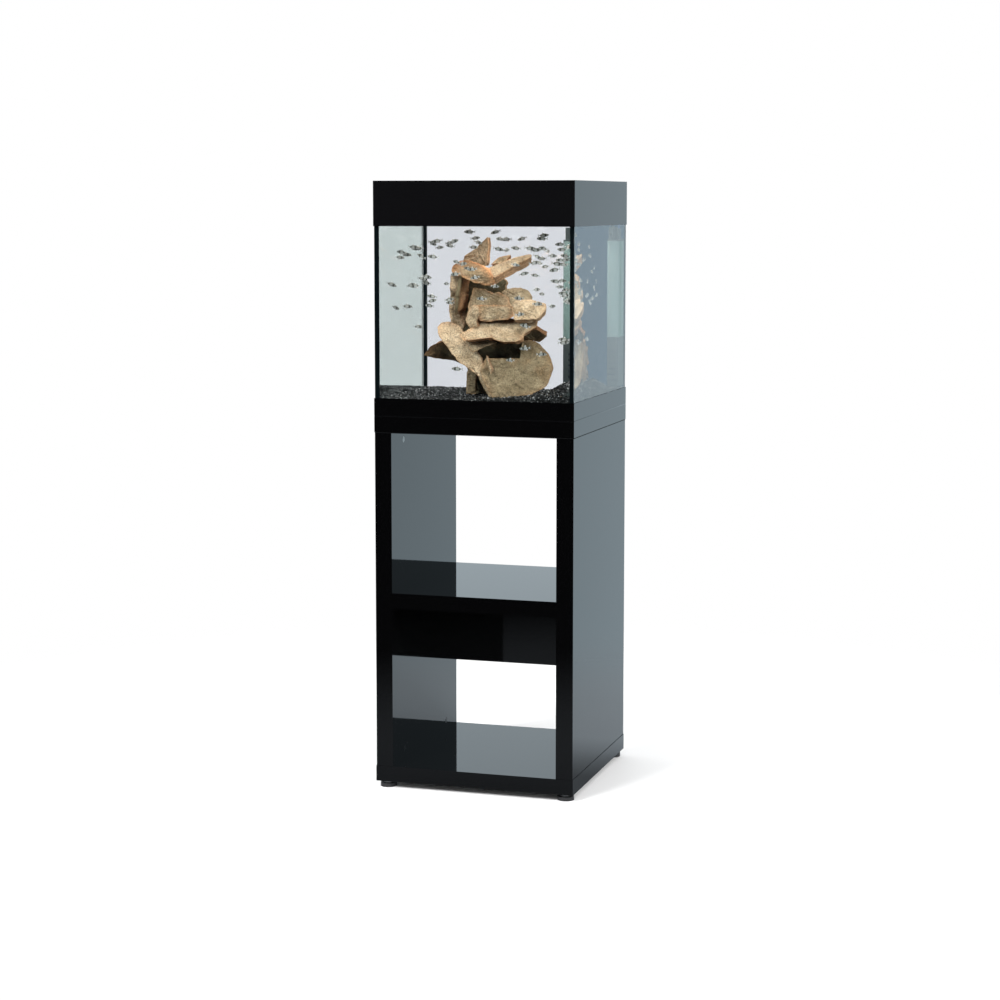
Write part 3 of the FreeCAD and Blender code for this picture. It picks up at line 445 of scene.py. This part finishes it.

# ---------------------------------------------------------------- stones

# Each stone is a broken plate: the outline of its front face as (x, z) in mm, with z over the floor; the
# depth y of the face at its middle and how fast that grows with x and with z; the way its thickness runs from
# that face; and its look: how pale, how rusty its edges, and how much a dark olive of algae tint and painted
# shade darkens it.
STONES = {
    "spike": ([(-6, 1351), (-3, 1330), (-10, 1276), (-72, 1280), (-66, 1302), (-36, 1323)],
              (-8, 0.1, 0.25), (4, 16, 0), (0.7, 0.5, 0.0)),
    "upper_left": ([(-101, 1264), (-96, 1277), (-75, 1290), (-52, 1289), (-28, 1281), (-10, 1270),
                    (4, 1254), (14, 1239), (15, 1223), (-20, 1227), (-48, 1236), (-70, 1247), (-94, 1251)],
                   (-66, -0.1, 0.8), (2, 22, 2), (0.4, 1.2, 0.12)),
    "upper_right": ([(-4, 1270), (24, 1282), (50, 1294), (98, 1307), (108, 1305), (88, 1290), (54, 1272),
                     (9, 1244)], (-62, 0.25, 1.1), (2, 6, -17), (1.0, 0.6, 0.0)),
    "rear_shard": ([(2, 1280), (20, 1299), (54, 1307), (36, 1284)],
                   (-20, 0.3, 1.0), (0, 12, -6), (0.5, 0.9, 0.1)),
    # throat: its high algae value paints the shade in the recess under the upper slabs.
    "throat": ([(-30, 1262), (14, 1262), (40, 1242), (36, 1216), (8, 1206), (-30, 1216)],
               (-22, 0, 0.1), (0, 50, 0), (0.2, 0.4, 1.0)),
    "upright": ([(-103, 1252), (-79, 1253), (-82, 1204), (-88, 1152), (-66, 1128), (-72, 1112),
                 (-98, 1132), (-106, 1164), (-102, 1206)], (-62, 0.9, 0.05), (26, 92, 0), (1.0, 0.35, 0.0)),
    "upright_edge": ([(-80, 1254), (-72, 1252), (-78, 1200), (-84, 1156), (-90, 1152), (-87, 1204)],
                     (-72, 0.2, 0.05), (10, 60, 0), (0.1, 0.7, 0.6)),
    # hollow: a dark stone set back in the recess; its algae value paints the shadow under the upper-left slab.
    "hollow": ([(-80, 1262), (-30, 1266), (20, 1258), (34, 1206), (28, 1150), (10, 1104), (-40, 1098),
                (-78, 1108), (-92, 1160)], (-6, 0, 0.12), (4, 62, 6), (0.1, 0.5, 1.0)),
    "neck": ([(-44, 1224), (-12, 1221), (7, 1209), (15, 1214), (31, 1210), (47, 1202), (56, 1176),
              (-52, 1148), (-58, 1176)], (-48, 0.0, 0.35), (0, 44, 0), (0.5, 0.6, 0.1)),
    "lobe": ([(30, 1214), (42, 1222), (58, 1226), (80, 1226), (98, 1219), (107, 1204), (103, 1186),
              (62, 1180), (36, 1190)], (-34, 0.1, 0.7), (0, 22, -4), (0.55, 0.2, 0.2)),
    "step": ([(-30, 1179), (54, 1179), (64, 1169), (58, 1150), (40, 1144), (-4, 1138), (-26, 1140),
              (-34, 1160)], (-92, 0.05, 0.25), (0, 62, 3), (0.6, 0.9, 0.05)),
    "step_lobe": ([(-44, 1180), (-28, 1178), (-24, 1160), (-34, 1140), (-32, 1124), (-52, 1122),
                   (-64, 1140), (-57, 1162)], (-98, -0.3, 0.3), (4, 50, 4), (0.75, 0.7, 0.1)),
    "slab_top": ([(50, 1180), (66, 1192), (102, 1197), (139, 1186), (143, 1175), (126, 1153), (118, 1147),
                  (60, 1142)], (-78, 0.3, 1.0), (0, 14, -9), (0.95, 0.35, 0.0)),
    "slab_main": ([(-24, 1144), (60, 1149), (122, 1150), (120, 1131), (98, 1116), (84, 1110), (82, 1097),
                   (68, 1092), (40, 1090), (2, 1099), (-68, 1089), (-80, 1104), (-44, 1126)],
                  (-96, 0.15, 1.0), (0, 26, -8), (0.85, 0.7, 0.0)),
    "slab_under": ([(0, 1106), (30, 1100), (80, 1104), (80, 1096), (66, 1090), (36, 1089), (10, 1094)],
                   (-122, 0.1, 0.9), (0, 26, -7), (0.7, 0.8, 0.1)),
    "tongue": ([(-70, 1092), (-30, 1090), (18, 1088), (-10, 1079), (-34, 1066), (-46, 1062), (-52, 1070)],
               (-104, 0.1, 1.0), (0, 14, 2), (0.8, 0.5, 0.1)),
    "brown_tip": ([(80, 1106), (95, 1121), (117, 1124), (146, 1108), (124, 1094), (100, 1098)],
                  (-50, 0.2, -1.1), (0, 10, 9), (0.0, 1.0, 0.5)),
    # core: its algae value paints the shadow under the big slab, above the foot plate.
    "core": ([(-60, 1112), (-10, 1122), (60, 1122), (108, 1112), (114, 1040), (100, 962), (-44, 962),
              (-60, 1030)], (-18, 0, -0.12), (-4, 88, -4), (0.0, 0.5, 0.95)),
    "wedge": ([(-171, 1054), (-154, 1075), (-123, 1089), (-96, 1072), (-60, 1050), (-72, 1036),
               (-92, 1044), (-146, 1049)], (-66, 0.3, -1.2), (6, 12, 8), (0.0, 1.2, 0.45)),
    "wedge_rim": ([(-172, 1055), (-154, 1076), (-123, 1090), (-104, 1084), (-122, 1084), (-152, 1070)],
                  (-72, 0.3, -0.6), (4, 12, 4), (0.3, 1.4, 0.0)),
    "diagonal": ([(-136, 1124), (-126, 1136), (-104, 1139), (-80, 1130), (-58, 1102), (-34, 1066),
                  (-18, 1038), (-4, 1010), (-16, 994), (-34, 1008), (-56, 1024), (-77, 1036), (-100, 1060),
                  (-122, 1090), (-133, 1107)], (-112, 0.35, 0.75), (3, 22, -6), (1.0, 0.5, 0.0)),
    "foot_plate": ([(-26, 1018), (-12, 1050), (50, 1050), (82, 1052), (84, 1076), (80, 1094), (98, 1100),
                    (118, 1095), (140, 1075), (156, 1052), (160, 1032), (155, 1010), (142, 984),
                    (108, 966), (65, 950), (16, 942), (4, 950), (-14, 985)],
                   (-110, 0.3, 0.5), (0, 24, 0), (0.2, 0.4, 0.12)),
    "foot_ridge": ([(-38, 1022), (-24, 1030), (-8, 1002), (20, 956), (16, 940), (4, 944), (-24, 988)],
                   (-134, 0.4, 0.6), (2, 22, 0), (0.8, 0.3, 0.05)),
    "shard": ([(-11, 1055), (5, 1019), (3, 1010), (-6, 1022)], (-142, 0, 0.3), (2, 16, 0), (0.9, 0.5, 0.0)),
    "leg": ([(-61, 1016), (-53, 1030), (-36, 1028), (-38, 962), (-62, 962)],
            (-64, 0.3, 0.05), (0, 40, 0), (0.4, 0.5, 0.2)),
}
AROUND = 180
ROCKS = [node for node in frame["nodes"] if node.startswith("rock_")]
EDGE_ROWS = 9


def even_outline(corners, count):
    """Points evenly spaced along the closed outline, its corners a little worn."""
    start = np.array(corners, float)
    side = np.roll(start, -1, axis=0) - start
    far = np.concatenate([[0], np.cumsum(np.linalg.norm(side, axis=1))])
    spots = np.linspace(0, far[-1], count, endpoint=False)
    closed = np.concatenate([start, start[:1]])
    line = np.stack([np.interp(spots, far, closed[:, 0]), np.interp(spots, far, closed[:, 1])], -1)
    for _ in range(3):
        line = line / 2 + (np.roll(line, 1, axis=0) + np.roll(line, -1, axis=0)) / 4
    return line


def plate_stone(name, outline, lie, thickness, look, seed, finish):
    """A broken plate of stone. Rings run out over the front face to the rim, along the broken edge in the
    thickness's direction, and back in over the rear face. The face swells gently and drops in low terraces;
    the edge steps in and out with the layers, tapers and bulges towards the back, and is a little rounded
    where it meets the faces."""
    line = even_outline(outline, AROUND)
    middle = line.mean(0)
    reach = line - middle
    radius = np.linalg.norm(reach, axis=1)
    face = np.concatenate([np.linspace(0.02, 0.93, 26), [0.955, 0.975, 0.99]])
    border = 16 - 11 * look[1]
    share = np.concatenate([face, np.ones(EDGE_ROWS), face[::-1]])
    level = np.concatenate([np.zeros(len(face)), np.linspace(0, 1, EDGE_ROWS), np.ones(len(face))])
    rim = np.concatenate([face ** border, np.ones(EDGE_ROWS), face[::-1] ** border])
    x = share[:, None] * reach[:, 0]
    z = share[:, None] * reach[:, 1]
    depth, along_x, along_z = lie
    flat = np.stack([x, 0 * x, z], -1)
    noisy = ripple(flat, 30, seed) * 0.5 + ripple(flat, 12, seed + 1) * 0.5
    shrink = 1 + noisy * 1.3 / np.maximum(radius, 12) * share[:, None] ** 6
    thick = np.linalg.norm(thickness)
    layers = ripple(np.stack([level[:, None] * max(16, thick) + 0 * x, 0.06 * x, 0.06 * z], -1), 9, seed + 2)
    inset = (0.9 + layers) * np.sin(math.pi * level)[:, None] * (1 + 0.045 * thick) / np.maximum(radius, 12)
    shrink = shrink - inset * (level[:, None] > 0) * (level[:, None] < 1)
    lumps = ripple(np.stack([x, level[:, None] * thick + 0 * x, z], -1), 34, seed + 8)
    taper, lumpy = 0.0042, 0.12
    worn = taper - lumpy * lumps * share[:, None] ** 2 / np.maximum(radius, 20)
    shrink = shrink - level[:, None] * thick * worn
    corner = (np.abs(level - 0.5) > 0.49) & (share > 0.99)
    shrink = shrink - corner[:, None] * 0.8 / np.maximum(radius, 12)
    swell = ripple(flat, 60, seed + 3) * 1.6 + ripple(flat, 20, seed + 4) * 0.7
    swell = swell + ripple(flat, 8, seed + 5) * 0.25
    terrace = ripple(flat * (1, 1, 1.5), 80, seed + 6) * 1.6 + ripple(flat, 25, seed + 7) * 0.25
    step = np.floor(terrace) + np.clip((terrace - np.floor(terrace)) * 7 - 3, 0, 1)
    dish = -2.5 * (1 - share[:, None] ** 2)
    plane = depth + along_x * x + along_z * z
    y = plane + (swell + dish + 2.4 * step) * (1 - 2 * level[:, None])
    back = plane - SIGHT_FROM
    grown = np.stack([x * shrink + middle[0] - SIGHT_LEFT * back, y,
                      z * shrink + middle[1] - SIGHT_DOWN * back], -1)
    grown = grown + level[:, None, None] * np.array(thickness, float)
    points = grown.reshape(-1, 3) * MM
    faces = quads(len(share), AROUND, wrap=True)[:, ::-1].tolist()
    last = (len(share) - 1) * AROUND
    faces.append(list(range(AROUND)))
    faces.append(list(range(last, last + AROUND))[::-1])
    piece = add_piece(f"stone_{name}", points, faces, finish)
    pale, rusty, algae_and_shade = look
    point_values(piece, "strata", np.broadcast_to(level[:, None] * thick, x.shape))
    point_values(piece, "rim", np.broadcast_to(rim[:, None], x.shape) * rusty)
    point_values(piece, "pale", np.full(x.shape, pale))
    # The "below" value is partly algae tint and partly painted shade: full on the front face, falling off over
    # the edge towards the rear face.
    shaded = algae_and_shade * np.clip(1 - 3 * level, 0.15, 1)
    point_values(piece, "below", np.broadcast_to(shaded[:, None], x.shape))
    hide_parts(*ROCKS)
    return piece


stone_finish = sandstone()
for number, (name, (outline, lie, thickness, look)) in enumerate(STONES.items()):
    plate_stone(name, outline, lie, thickness, look, 40 + 10 * number, stone_finish)

# ---------------------------------------------------------------- gravel

gravel_finish = wet_gravel()


def bed_height(x, y):
    """The gravel's surface over the tank's floor plan, in metres: gentle waves, a bank against the right pane
    and a low slope towards the front right corner, both bell curves."""
    spot = np.stack([x, y, np.zeros_like(x)], -1)
    waves = ripple(spot, 0.12, 7) * 0.0015
    bank_high, bank_x, bank_y = 0.042, 0.212, -0.05
    bank = bank_high * np.exp(-((x - bank_x) / 0.045) ** 2 - ((y - bank_y) / 0.13) ** 2)
    slope_high, slope_x, slope_y = 0.014, 0.17, -0.19
    slope = slope_high * np.exp(-((x - slope_x) / 0.10) ** 2 - ((y - slope_y) / 0.09) ** 2)
    return GRAVEL_TOP - 0.003 + waves + bank + slope


def gravel_bed():
    """A block as wide as the tank inside: a fine grid on top at bed_height, and walls down to the glass."""
    count = 90
    line = np.linspace(-1, 1, count)
    x, y = np.meshgrid(line * (WATER_X - 0.0035), line * (WATER_Y - 0.0035))
    top = np.stack([x, y, bed_height(x, y)], -1)
    points, faces = block(top, FLOOR_TOP + 0.0003)
    piece = add_piece("gravel_bed_ground", points, faces, gravel_finish)
    point_values(piece, "grain", np.random.default_rng(3).uniform(0, 0.7, len(points)))
    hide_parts("gravel_bed")


def gravel_grains(count):
    """Loose grains: one rounded eight-sided lump, stretched, turned and set down in thousands on the bed."""
    draw = np.random.default_rng(11)
    lump = np.array([(1, 0, 0), (-1, 0, 0), (0, 1, 0), (0, -1, 0), (0, 0, 1), (0, 0, -1),
                     (.6, .6, .6), (-.6, .6, .6), (.6, -.6, .6), (-.6, -.6, .6),
                     (.6, .6, -.6), (-.6, .6, -.6), (.6, -.6, -.6), (-.6, -.6, -.6)], float)
    faces = [(4, 8, 6), (4, 6, 7), (4, 7, 9), (4, 9, 8), (5, 10, 12), (5, 11, 10), (5, 13, 11), (5, 12, 13),
             (0, 6, 8), (0, 8, 12), (0, 12, 10), (0, 10, 6), (1, 9, 7), (1, 7, 11), (1, 11, 13), (1, 13, 9),
             (2, 7, 6), (2, 6, 10), (2, 10, 11), (2, 11, 7), (3, 8, 9), (3, 9, 13), (3, 13, 12), (3, 12, 8)]
    size = draw.uniform(0.0016, 0.0034, (count, 1, 1)) * draw.uniform(0.6, 1.0, (count, 1, 3))
    size = size * (1 + draw.uniform(-0.15, 0.15, (count, len(lump), 1)))
    angle = draw.uniform(0, 2 * math.pi, (count, 1))
    shape = lump[None] * size
    tip = draw.uniform(-0.6, 0.6, (count, 1))
    shape = np.stack([shape[..., 0] * np.cos(angle) - shape[..., 1] * np.sin(angle),
                      shape[..., 0] * np.sin(angle) + shape[..., 1] * np.cos(angle),
                      shape[..., 2] + tip * shape[..., 0]], -1)
    x = draw.uniform(-WATER_X + 0.004, WATER_X - 0.004, count)
    y = draw.uniform(-WATER_Y + 0.004, WATER_Y - 0.004, count)
    width = size.max(axis=(1, 2)) * 1.2
    against_right = np.arange(count) % 5 == 0
    against_front = np.arange(count) % 5 == 1
    x = np.where(against_right, WATER_X - width, x)
    y = np.where(against_front, -WATER_Y + width, y)
    level = bed_height(x, y) + draw.uniform(0.0, 0.0022, count)
    low = FRAME_TOP - 0.004
    level = np.where(against_right | against_front, low + draw.uniform(0, 1, count) * (level - low), level)
    spot = np.stack([x, y, level], -1)
    points = (shape + spot[:, None, :]).reshape(-1, 3)
    many = (np.array(faces)[None] + np.arange(count)[:, None, None] * len(lump)).reshape(-1, 3)
    piece = add_piece("gravel_grains", points, many, gravel_finish, smooth=False)
    point_values(piece, "grain", np.repeat(draw.uniform(0, 1, count), len(lump)))


gravel_bed()
gravel_grains(8100)

# ---------------------------------------------------------------- seams under the tank, and a painted shadow line under the top slab


def band(name, half_x, half_y, low, high, finish, thick=0.0008, bow=0.0002):
    """A thin band wrapped round a rectangle: its profile bows out a little between low and high, and its four
    corners are rounded."""
    corner, rows = 0.002, 6
    turn = np.linspace(0, math.pi / 2, 7)
    ends = [(half_x - corner, half_y - corner, 0), (corner - half_x, half_y - corner, 1),
            (corner - half_x, corner - half_y, 2), (half_x - corner, corner - half_y, 3)]
    angle = np.concatenate([turn + math.pi / 2 * end[2] for end in ends])
    middle = np.repeat(np.array([end[:2] for end in ends]), len(turn), axis=0)
    height = np.linspace(0, 1, rows)
    out = np.concatenate([corner + bow * np.sin(math.pi * height), np.full(rows, corner - thick)])
    level = low + (high - low) * np.concatenate([height, height[::-1]])
    x = middle[:, 0] + out[:, None] * np.cos(angle)
    y = middle[:, 1] + out[:, None] * np.sin(angle)
    points = np.stack([x, y, level[:, None] + 0 * x], -1)
    across, around = points.shape[:2]
    faces = quads(across + 1, around, wrap=True) % (across * around)
    add_piece(name, points.reshape(-1, 3), faces, finish)


FRAME_BOX, SLAB_BOX, PANEL_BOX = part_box("tank_base_frame"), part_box("top_slab"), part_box("right_side_panel")
band("frame_lip", FRAME_BOX[1].x, FRAME_BOX[1].y, SLAB_BOX[1].z, FRAME_BOX[0].z + 0.0002, FRAME_PLASTIC)
# A painted shadow line: a thin dark matt strip just under the top slab, round the panels, stands in for the
# shade in the seam between slab and panels.
band("painted_slab_shadow_line", PANEL_BOX[1].x + 0.0006, PANEL_BOX[1].y + 0.0006, SLAB_BOX[0].z - 0.0022,
     SLAB_BOX[0].z, moulded("painted_seam_shadow", (0.002, 0.002, 0.0025), 0.7, 500), thick=0.0005, bow=0.0001)

# ---------------------------------------------------------------- water


def water_block():
    """The water: a block that reaches a little into the panes, so that no air lies between, with a rippled
    top."""
    count = 60
    into = 0.0015
    line = np.linspace(-1, 1, count)
    x, y = np.meshgrid(line * (WATER_X + into), line * (WATER_Y + into))
    spot = np.stack([x, y, np.zeros_like(x)], -1)
    top = np.stack([x, y, WATER_TOP + ripple(spot, 0.07, 21) * 0.0005], -1)
    points, faces = block(top, FLOOR_TOP - into)
    add_piece("tank_water", points, faces, WATER, smooth=False)


water_block()

# ---------------------------------------------------------------- fish


def fish_shape():
    """One fish facing +X, of length 1: the body's height and width swell and fall along it as powers of a
    sine, and flat fins stand on its back, belly and tail. Returns points, faces and a tone for each point."""
    along, around = 17, 12
    s = np.linspace(0, 1, along)
    high = 0.150 * np.sin(math.pi * np.clip(s * 0.93 + 0.03, 0, 1)) ** 0.75 + 0.010
    wide = high * 0.42
    angle = np.linspace(0, 2 * math.pi, around, endpoint=False)
    x = 0.5 - s[:, None] * 0.80 + 0 * angle
    y = wide[:, None] * np.sin(angle)
    z = high[:, None] * np.cos(angle)
    body = np.stack([x, y, z], -1).reshape(-1, 3)
    faces = quads(along, around, wrap=True)[:, ::-1].tolist()
    faces.append(list(range(around)))
    faces.append(list(range((along - 1) * around, along * around))[::-1])
    tone = 0.54 - 0.40 * np.clip(np.broadcast_to(np.cos(angle), x.shape) - 0.2, 0, 1)
    tone = tone + 0.1 * np.clip(-np.broadcast_to(np.cos(angle), x.shape), 0, 1)
    share = s[:, None] + 0 * x
    tone = np.where((np.abs(share - 0.38) < 0.09) & (np.cos(angle) > -0.75), 0.05, tone)
    tone = np.where((np.abs(share - 0.12) < 0.035) & (np.abs(np.cos(angle) - 0.2) < 0.4), 0.0, tone)
    tone = np.where((share > 0.86) & (np.abs(np.cos(angle)) < 0.9), 0.12, tone)
    fins = [((-0.28, 0.0), (-0.50, 0.14), (-0.43, 0.0), (-0.50, -0.14)),
            ((0.10, 0.13), (-0.02, 0.25), (-0.09, 0.22), (-0.08, 0.12)),
            ((-0.02, -0.13), (-0.16, -0.22), (-0.24, -0.15), (-0.22, -0.07))]
    points, tones, start = [body], [tone.ravel()], len(body)
    for number, fin in enumerate(fins):
        for side in (0.004, -0.004):
            points.append(np.array([(px, side, pz) for px, pz in fin]))
            order = [3, 2, 1, 0] if side < 0 else [0, 1, 2, 3]
            faces.append([start + k for k in order])
            start += 4
            tones.append(np.array([0.7, 0.45, 0.6, 0.45]) if number == 0 else np.array([0.4, 0.95, 0.8, 0.4]))
    return np.concatenate(points), faces, np.concatenate(tones)


# Where each fish swims, as (x, z) in mm at the depth of the stones: round the top of the stack, to its left
# and to its right; then (y, z) of those that keep close to the right pane.
SHOAL = [
    (-51, 1349), (14, 1349), (-38, 1335), (-31, 1326), (-43, 1315), (25, 1334), (41, 1333), (80, 1336),
    (132, 1344), (129, 1333), (20, 1309), (40, 1308), (65, 1312), (98, 1310), (113, 1306), (132, 1310),
    (143, 1305), (179, 1309), (117, 1291), (130, 1289), (154, 1294), (110, 1278), (124, 1275), (138, 1270),
    (165, 1275), (174, 1283), (182, 1275), (160, 1260), (83, 1250), (113, 1249), (163, 1233), (178, 1237),
    (172, 1221), (115, 1214), (190, 1215), (183, 1206), (199, 1211), (130, 1204), (72, 1194), (-21, 1190),
    (117, 1180), (153, 1174), (192, 1188), (63, 1273), (-38, 1240), (12, 1221), (182, 1089), (74, 1155),
    (88, 1128), (87, 1073), (128, 1061), (50, 1044), (-146, 1323), (-133, 1326), (-104, 1323), (-92, 1325),
    (-100, 1316), (-128, 1313), (-143, 1289), (-173, 1290), (-194, 1312), (-182, 1310), (-214, 1296),
    (-224, 1300), (-230, 1289), (-84, 1277), (-69, 1273), (-56, 1263), (-45, 1260), (-87, 1250),
    (-161, 1242), (-173, 1236), (-160, 1227), (-109, 1225), (-201, 1221), (-189, 1218), (-250, 1221),
    (-146, 1194), (-148, 1183), (-153, 1173), (-104, 1187), (-100, 1179), (-211, 1170), (-240, 1166),
    (-183, 1121), (-83, 1020),
]
RIGHT_SHOAL = [
    (-150, 1330), (-60, 1322), (-40, 1300), (-110, 1292), (-20, 1270), (-50, 1262), (-90, 1240),
    (10, 1236), (-30, 1222), (-70, 1206), (0, 1204), (-20, 1196), (-50, 1188), (-64, 1100),
]


def fish_shoal():
    """The shoal as one mesh: each fish is fish_shape at its own length, heading, bend and place. Fish in
    front of the stones lie further forward along the line of sight through the front pane."""
    draw = np.random.default_rng(5)
    shape, faces, tone = fish_shape()
    spots = []
    for x, z in SHOAL:
        forward = draw.uniform(0.075, 0.125)
        spots.append((x * MM + SIGHT_LEFT * forward, SIGHT_FROM * MM - forward,
                      z * MM + SIGHT_DOWN * forward))
    for y, z in RIGHT_SHOAL:
        spots.append((draw.uniform(0.185, 0.215), y * MM, z * MM))
    limit = np.array([WATER_X - 0.018, WATER_Y - 0.018])
    points, many, tones, start = [], [], [], 0
    for spot in np.array(spots):
        spot[:2] = np.clip(spot[:2], -limit, limit)
        size = draw.uniform(0.023, 0.030)
        heading = draw.choice((0, 180)) + draw.normal() * 22
        fish = shape.copy()
        fish[:, 1] += draw.normal() * 0.12 * (fish[:, 0] - 0.1) ** 2
        points.append(fish * size @ turned(0, draw.normal() * 10, heading).T + spot)
        many.extend([[start + k for k in face] for face in faces])
        tones.append(tone)
        start += len(shape)
    piece = add_piece("fish_shoal", np.concatenate(points), many, fish_skin())
    point_values(piece, "tone", np.concatenate(tones))


fish_shoal()

# ---------------------------------------------------------------- studio


def pale_floor():
    """A round, near-white floor that fades out at its edge. Reflections find it dimmer and bluer, and dimmest
    towards the front."""
    finish = Finish("pale_floor")
    middle = finish.add("ShaderNodeVectorMath", operation="LENGTH")
    finish.join(finish.place, middle.inputs[0])
    fade = finish.add("ShaderNodeMapRange", interpolation_type="SMOOTHSTEP")
    finish.join(middle.outputs["Value"], fade.inputs["Value"])
    fade.inputs["From Min"].default_value = 0.7
    fade.inputs["From Max"].default_value = 2.1
    seen = finish.add("ShaderNodeLightPath").outputs["Is Glossy Ray"]
    apart = finish.add("ShaderNodeSeparateXYZ")
    finish.join(finish.place, apart.inputs[0])
    lacquer = finish.ramp(apart.outputs["Y"], (0.0, (0.18, 0.20, 0.22)), (0.4, (0.56, 0.64, 0.70)))
    ground = finish.shader(Base_Color=finish.blend(seen, (0.9, 0.9, 0.9), lacquer), Roughness=0.6)
    clear = finish.add("ShaderNodeBsdfTransparent")
    mix = finish.add("ShaderNodeMixShader")
    finish.join(fade.outputs["Result"], mix.inputs[0])
    finish.join(ground.outputs[0], mix.inputs[1])
    finish.join(clear.outputs[0], mix.inputs[2])
    radius, corners = 2.2, 96
    angle = np.linspace(0, 2 * math.pi, corners, endpoint=False)
    ring = np.stack([radius * np.cos(angle), radius * np.sin(angle), 0 * angle], -1)
    floor = add_piece("studio_floor", ring, [list(range(corners))], finish.done(mix), body=None, smooth=False)


def soft_sky():
    """Even white light all round. Reflections and refractions find a room instead: nearly black in front, a
    pale wall behind, and a dark blue corner far to the left. Refractions find that wall lilac on the left and
    greenish on the right. Reflections find it pale blue, and on the right dim above the horizon."""
    world = bpy.data.worlds.new("studio_light")
    bpy.context.scene.world = world
    world.use_nodes = True
    tree = world.node_tree
    tree.nodes.clear()
    output = tree.nodes.new("ShaderNodeOutputWorld")
    light = tree.nodes.new("ShaderNodeBackground")
    tree.links.new(light.outputs[0], output.inputs["Surface"])
    way = tree.nodes.new("ShaderNodeTexCoord").outputs["Generated"]
    apart = tree.nodes.new("ShaderNodeSeparateXYZ")
    tree.links.new(way, apart.inputs[0])

    def ramp(source, low, high):
        """A smooth step from 0 to 1 between two levels of a value."""
        made = tree.nodes.new("ShaderNodeMapRange")
        made.interpolation_type = "SMOOTHSTEP"
        made.inputs["From Min"].default_value = low
        made.inputs["From Max"].default_value = high
        tree.links.new(source, made.inputs["Value"])
        return made.outputs["Result"]

    def blend(share, first, second):
        """Mix two colours by a share from 0 to 1."""
        made = tree.nodes.new("ShaderNodeMix")
        made.data_type = "RGBA"
        for value, socket in ((share, made.inputs[0]), (first, made.inputs[6]), (second, made.inputs[7])):
            if isinstance(value, tuple):
                socket.default_value = (*value, 1)
            else:
                tree.links.new(value, socket)
        return made.outputs[2]

    path = tree.nodes.new("ShaderNodeLightPath")
    far_right = blend(ramp(apart.outputs["Z"], 0.04, 0.12), (0.70, 0.86, 0.95), (0.18, 0.23, 0.26))
    right = blend(path.outputs["Is Transmission Ray"], far_right, (0.88, 0.95, 0.94))
    left = blend(path.outputs["Is Transmission Ray"], (0.74, 0.86, 0.93), (0.88, 0.88, 0.93))
    wall = blend(ramp(apart.outputs["X"], -0.15, 0.15), left, right)
    room = blend(ramp(apart.outputs["Y"], -0.35, 0.25), (0.004, 0.005, 0.006), wall)
    corner = tree.nodes.new("ShaderNodeMath")
    corner.operation = "MULTIPLY"
    tree.links.new(ramp(apart.outputs["X"], -0.55, -0.85), corner.inputs[0])
    tree.links.new(ramp(apart.outputs["Y"], 0.10, 0.20), corner.inputs[1])
    room = blend(corner.outputs[0], room, (0.0, 0.035, 0.08))
    either = tree.nodes.new("ShaderNodeMath")
    either.operation = "MAXIMUM"
    tree.links.new(path.outputs["Is Glossy Ray"], either.inputs[0])
    tree.links.new(path.outputs["Is Transmission Ray"], either.inputs[1])
    colour = blend(either.outputs[0], (1.0, 1.0, 1.0), room)
    tree.links.new(colour, light.inputs["Color"])
    light.inputs["Strength"].default_value = 1.0


def soft_lamp(name, place, target, size, power, colour=(1, 1, 1)):
    """A soft rectangular lamp that looks at a point and isn't itself seen in the gloss."""
    light = bpy.data.lights.new(name, "AREA")
    light.shape = "RECTANGLE"
    light.size, light.size_y = size
    light.energy = power
    light.color = colour
    lamp = bpy.data.objects.new(name, light)
    bpy.context.scene.collection.objects.link(lamp)
    lamp.location = place
    way = np.array(target, float) - np.array(place, float)
    yaw = math.atan2(way[1], way[0]) - math.pi / 2
    pitch = math.atan2(math.hypot(way[0], way[1]), -way[2])
    lamp.rotation_euler = (pitch, 0, yaw)
    lamp.visible_glossy = False
    lamp.visible_transmission = False
    lamp.visible_camera = False
    return lamp


def camera():
    """The camera stands to the right of the front, a little under the top of the hood, and looks slightly
    down."""
    lens = bpy.data.cameras.new("camera")
    lens.sensor_width = 36
    lens.lens = 81.87
    lens.shift_y = -0.05
    down, left = 6.294, 17.153
    eye = bpy.data.objects.new("camera", lens)
    bpy.context.scene.collection.objects.link(eye)
    eye.location = (1.6526, -5.3845, 1.4361)
    eye.rotation_euler = (math.radians(90 - down), 0, math.radians(left))
    bpy.context.scene.camera = eye


pale_floor()
soft_sky()
soft_lamp("key_lamp", (-1.6, -3.4, 3.2), (0, 0, 1.1), (1.6, 1.6), 230)
soft_lamp("side_lamp", (3.2, -1.2, 2.2), (0, 0, 1.15), (1.2, 1.2), 110)
soft_lamp("hood_light", (0, -0.05, 1.44), (0, -0.05, 1.0), (0.36, 0.16), 5.6, (1.0, 0.97, 0.93))
camera()
bpy.context.scene.view_settings.view_transform = "Standard"
bpy.context.scene.cycles.transparent_max_bounces = 24
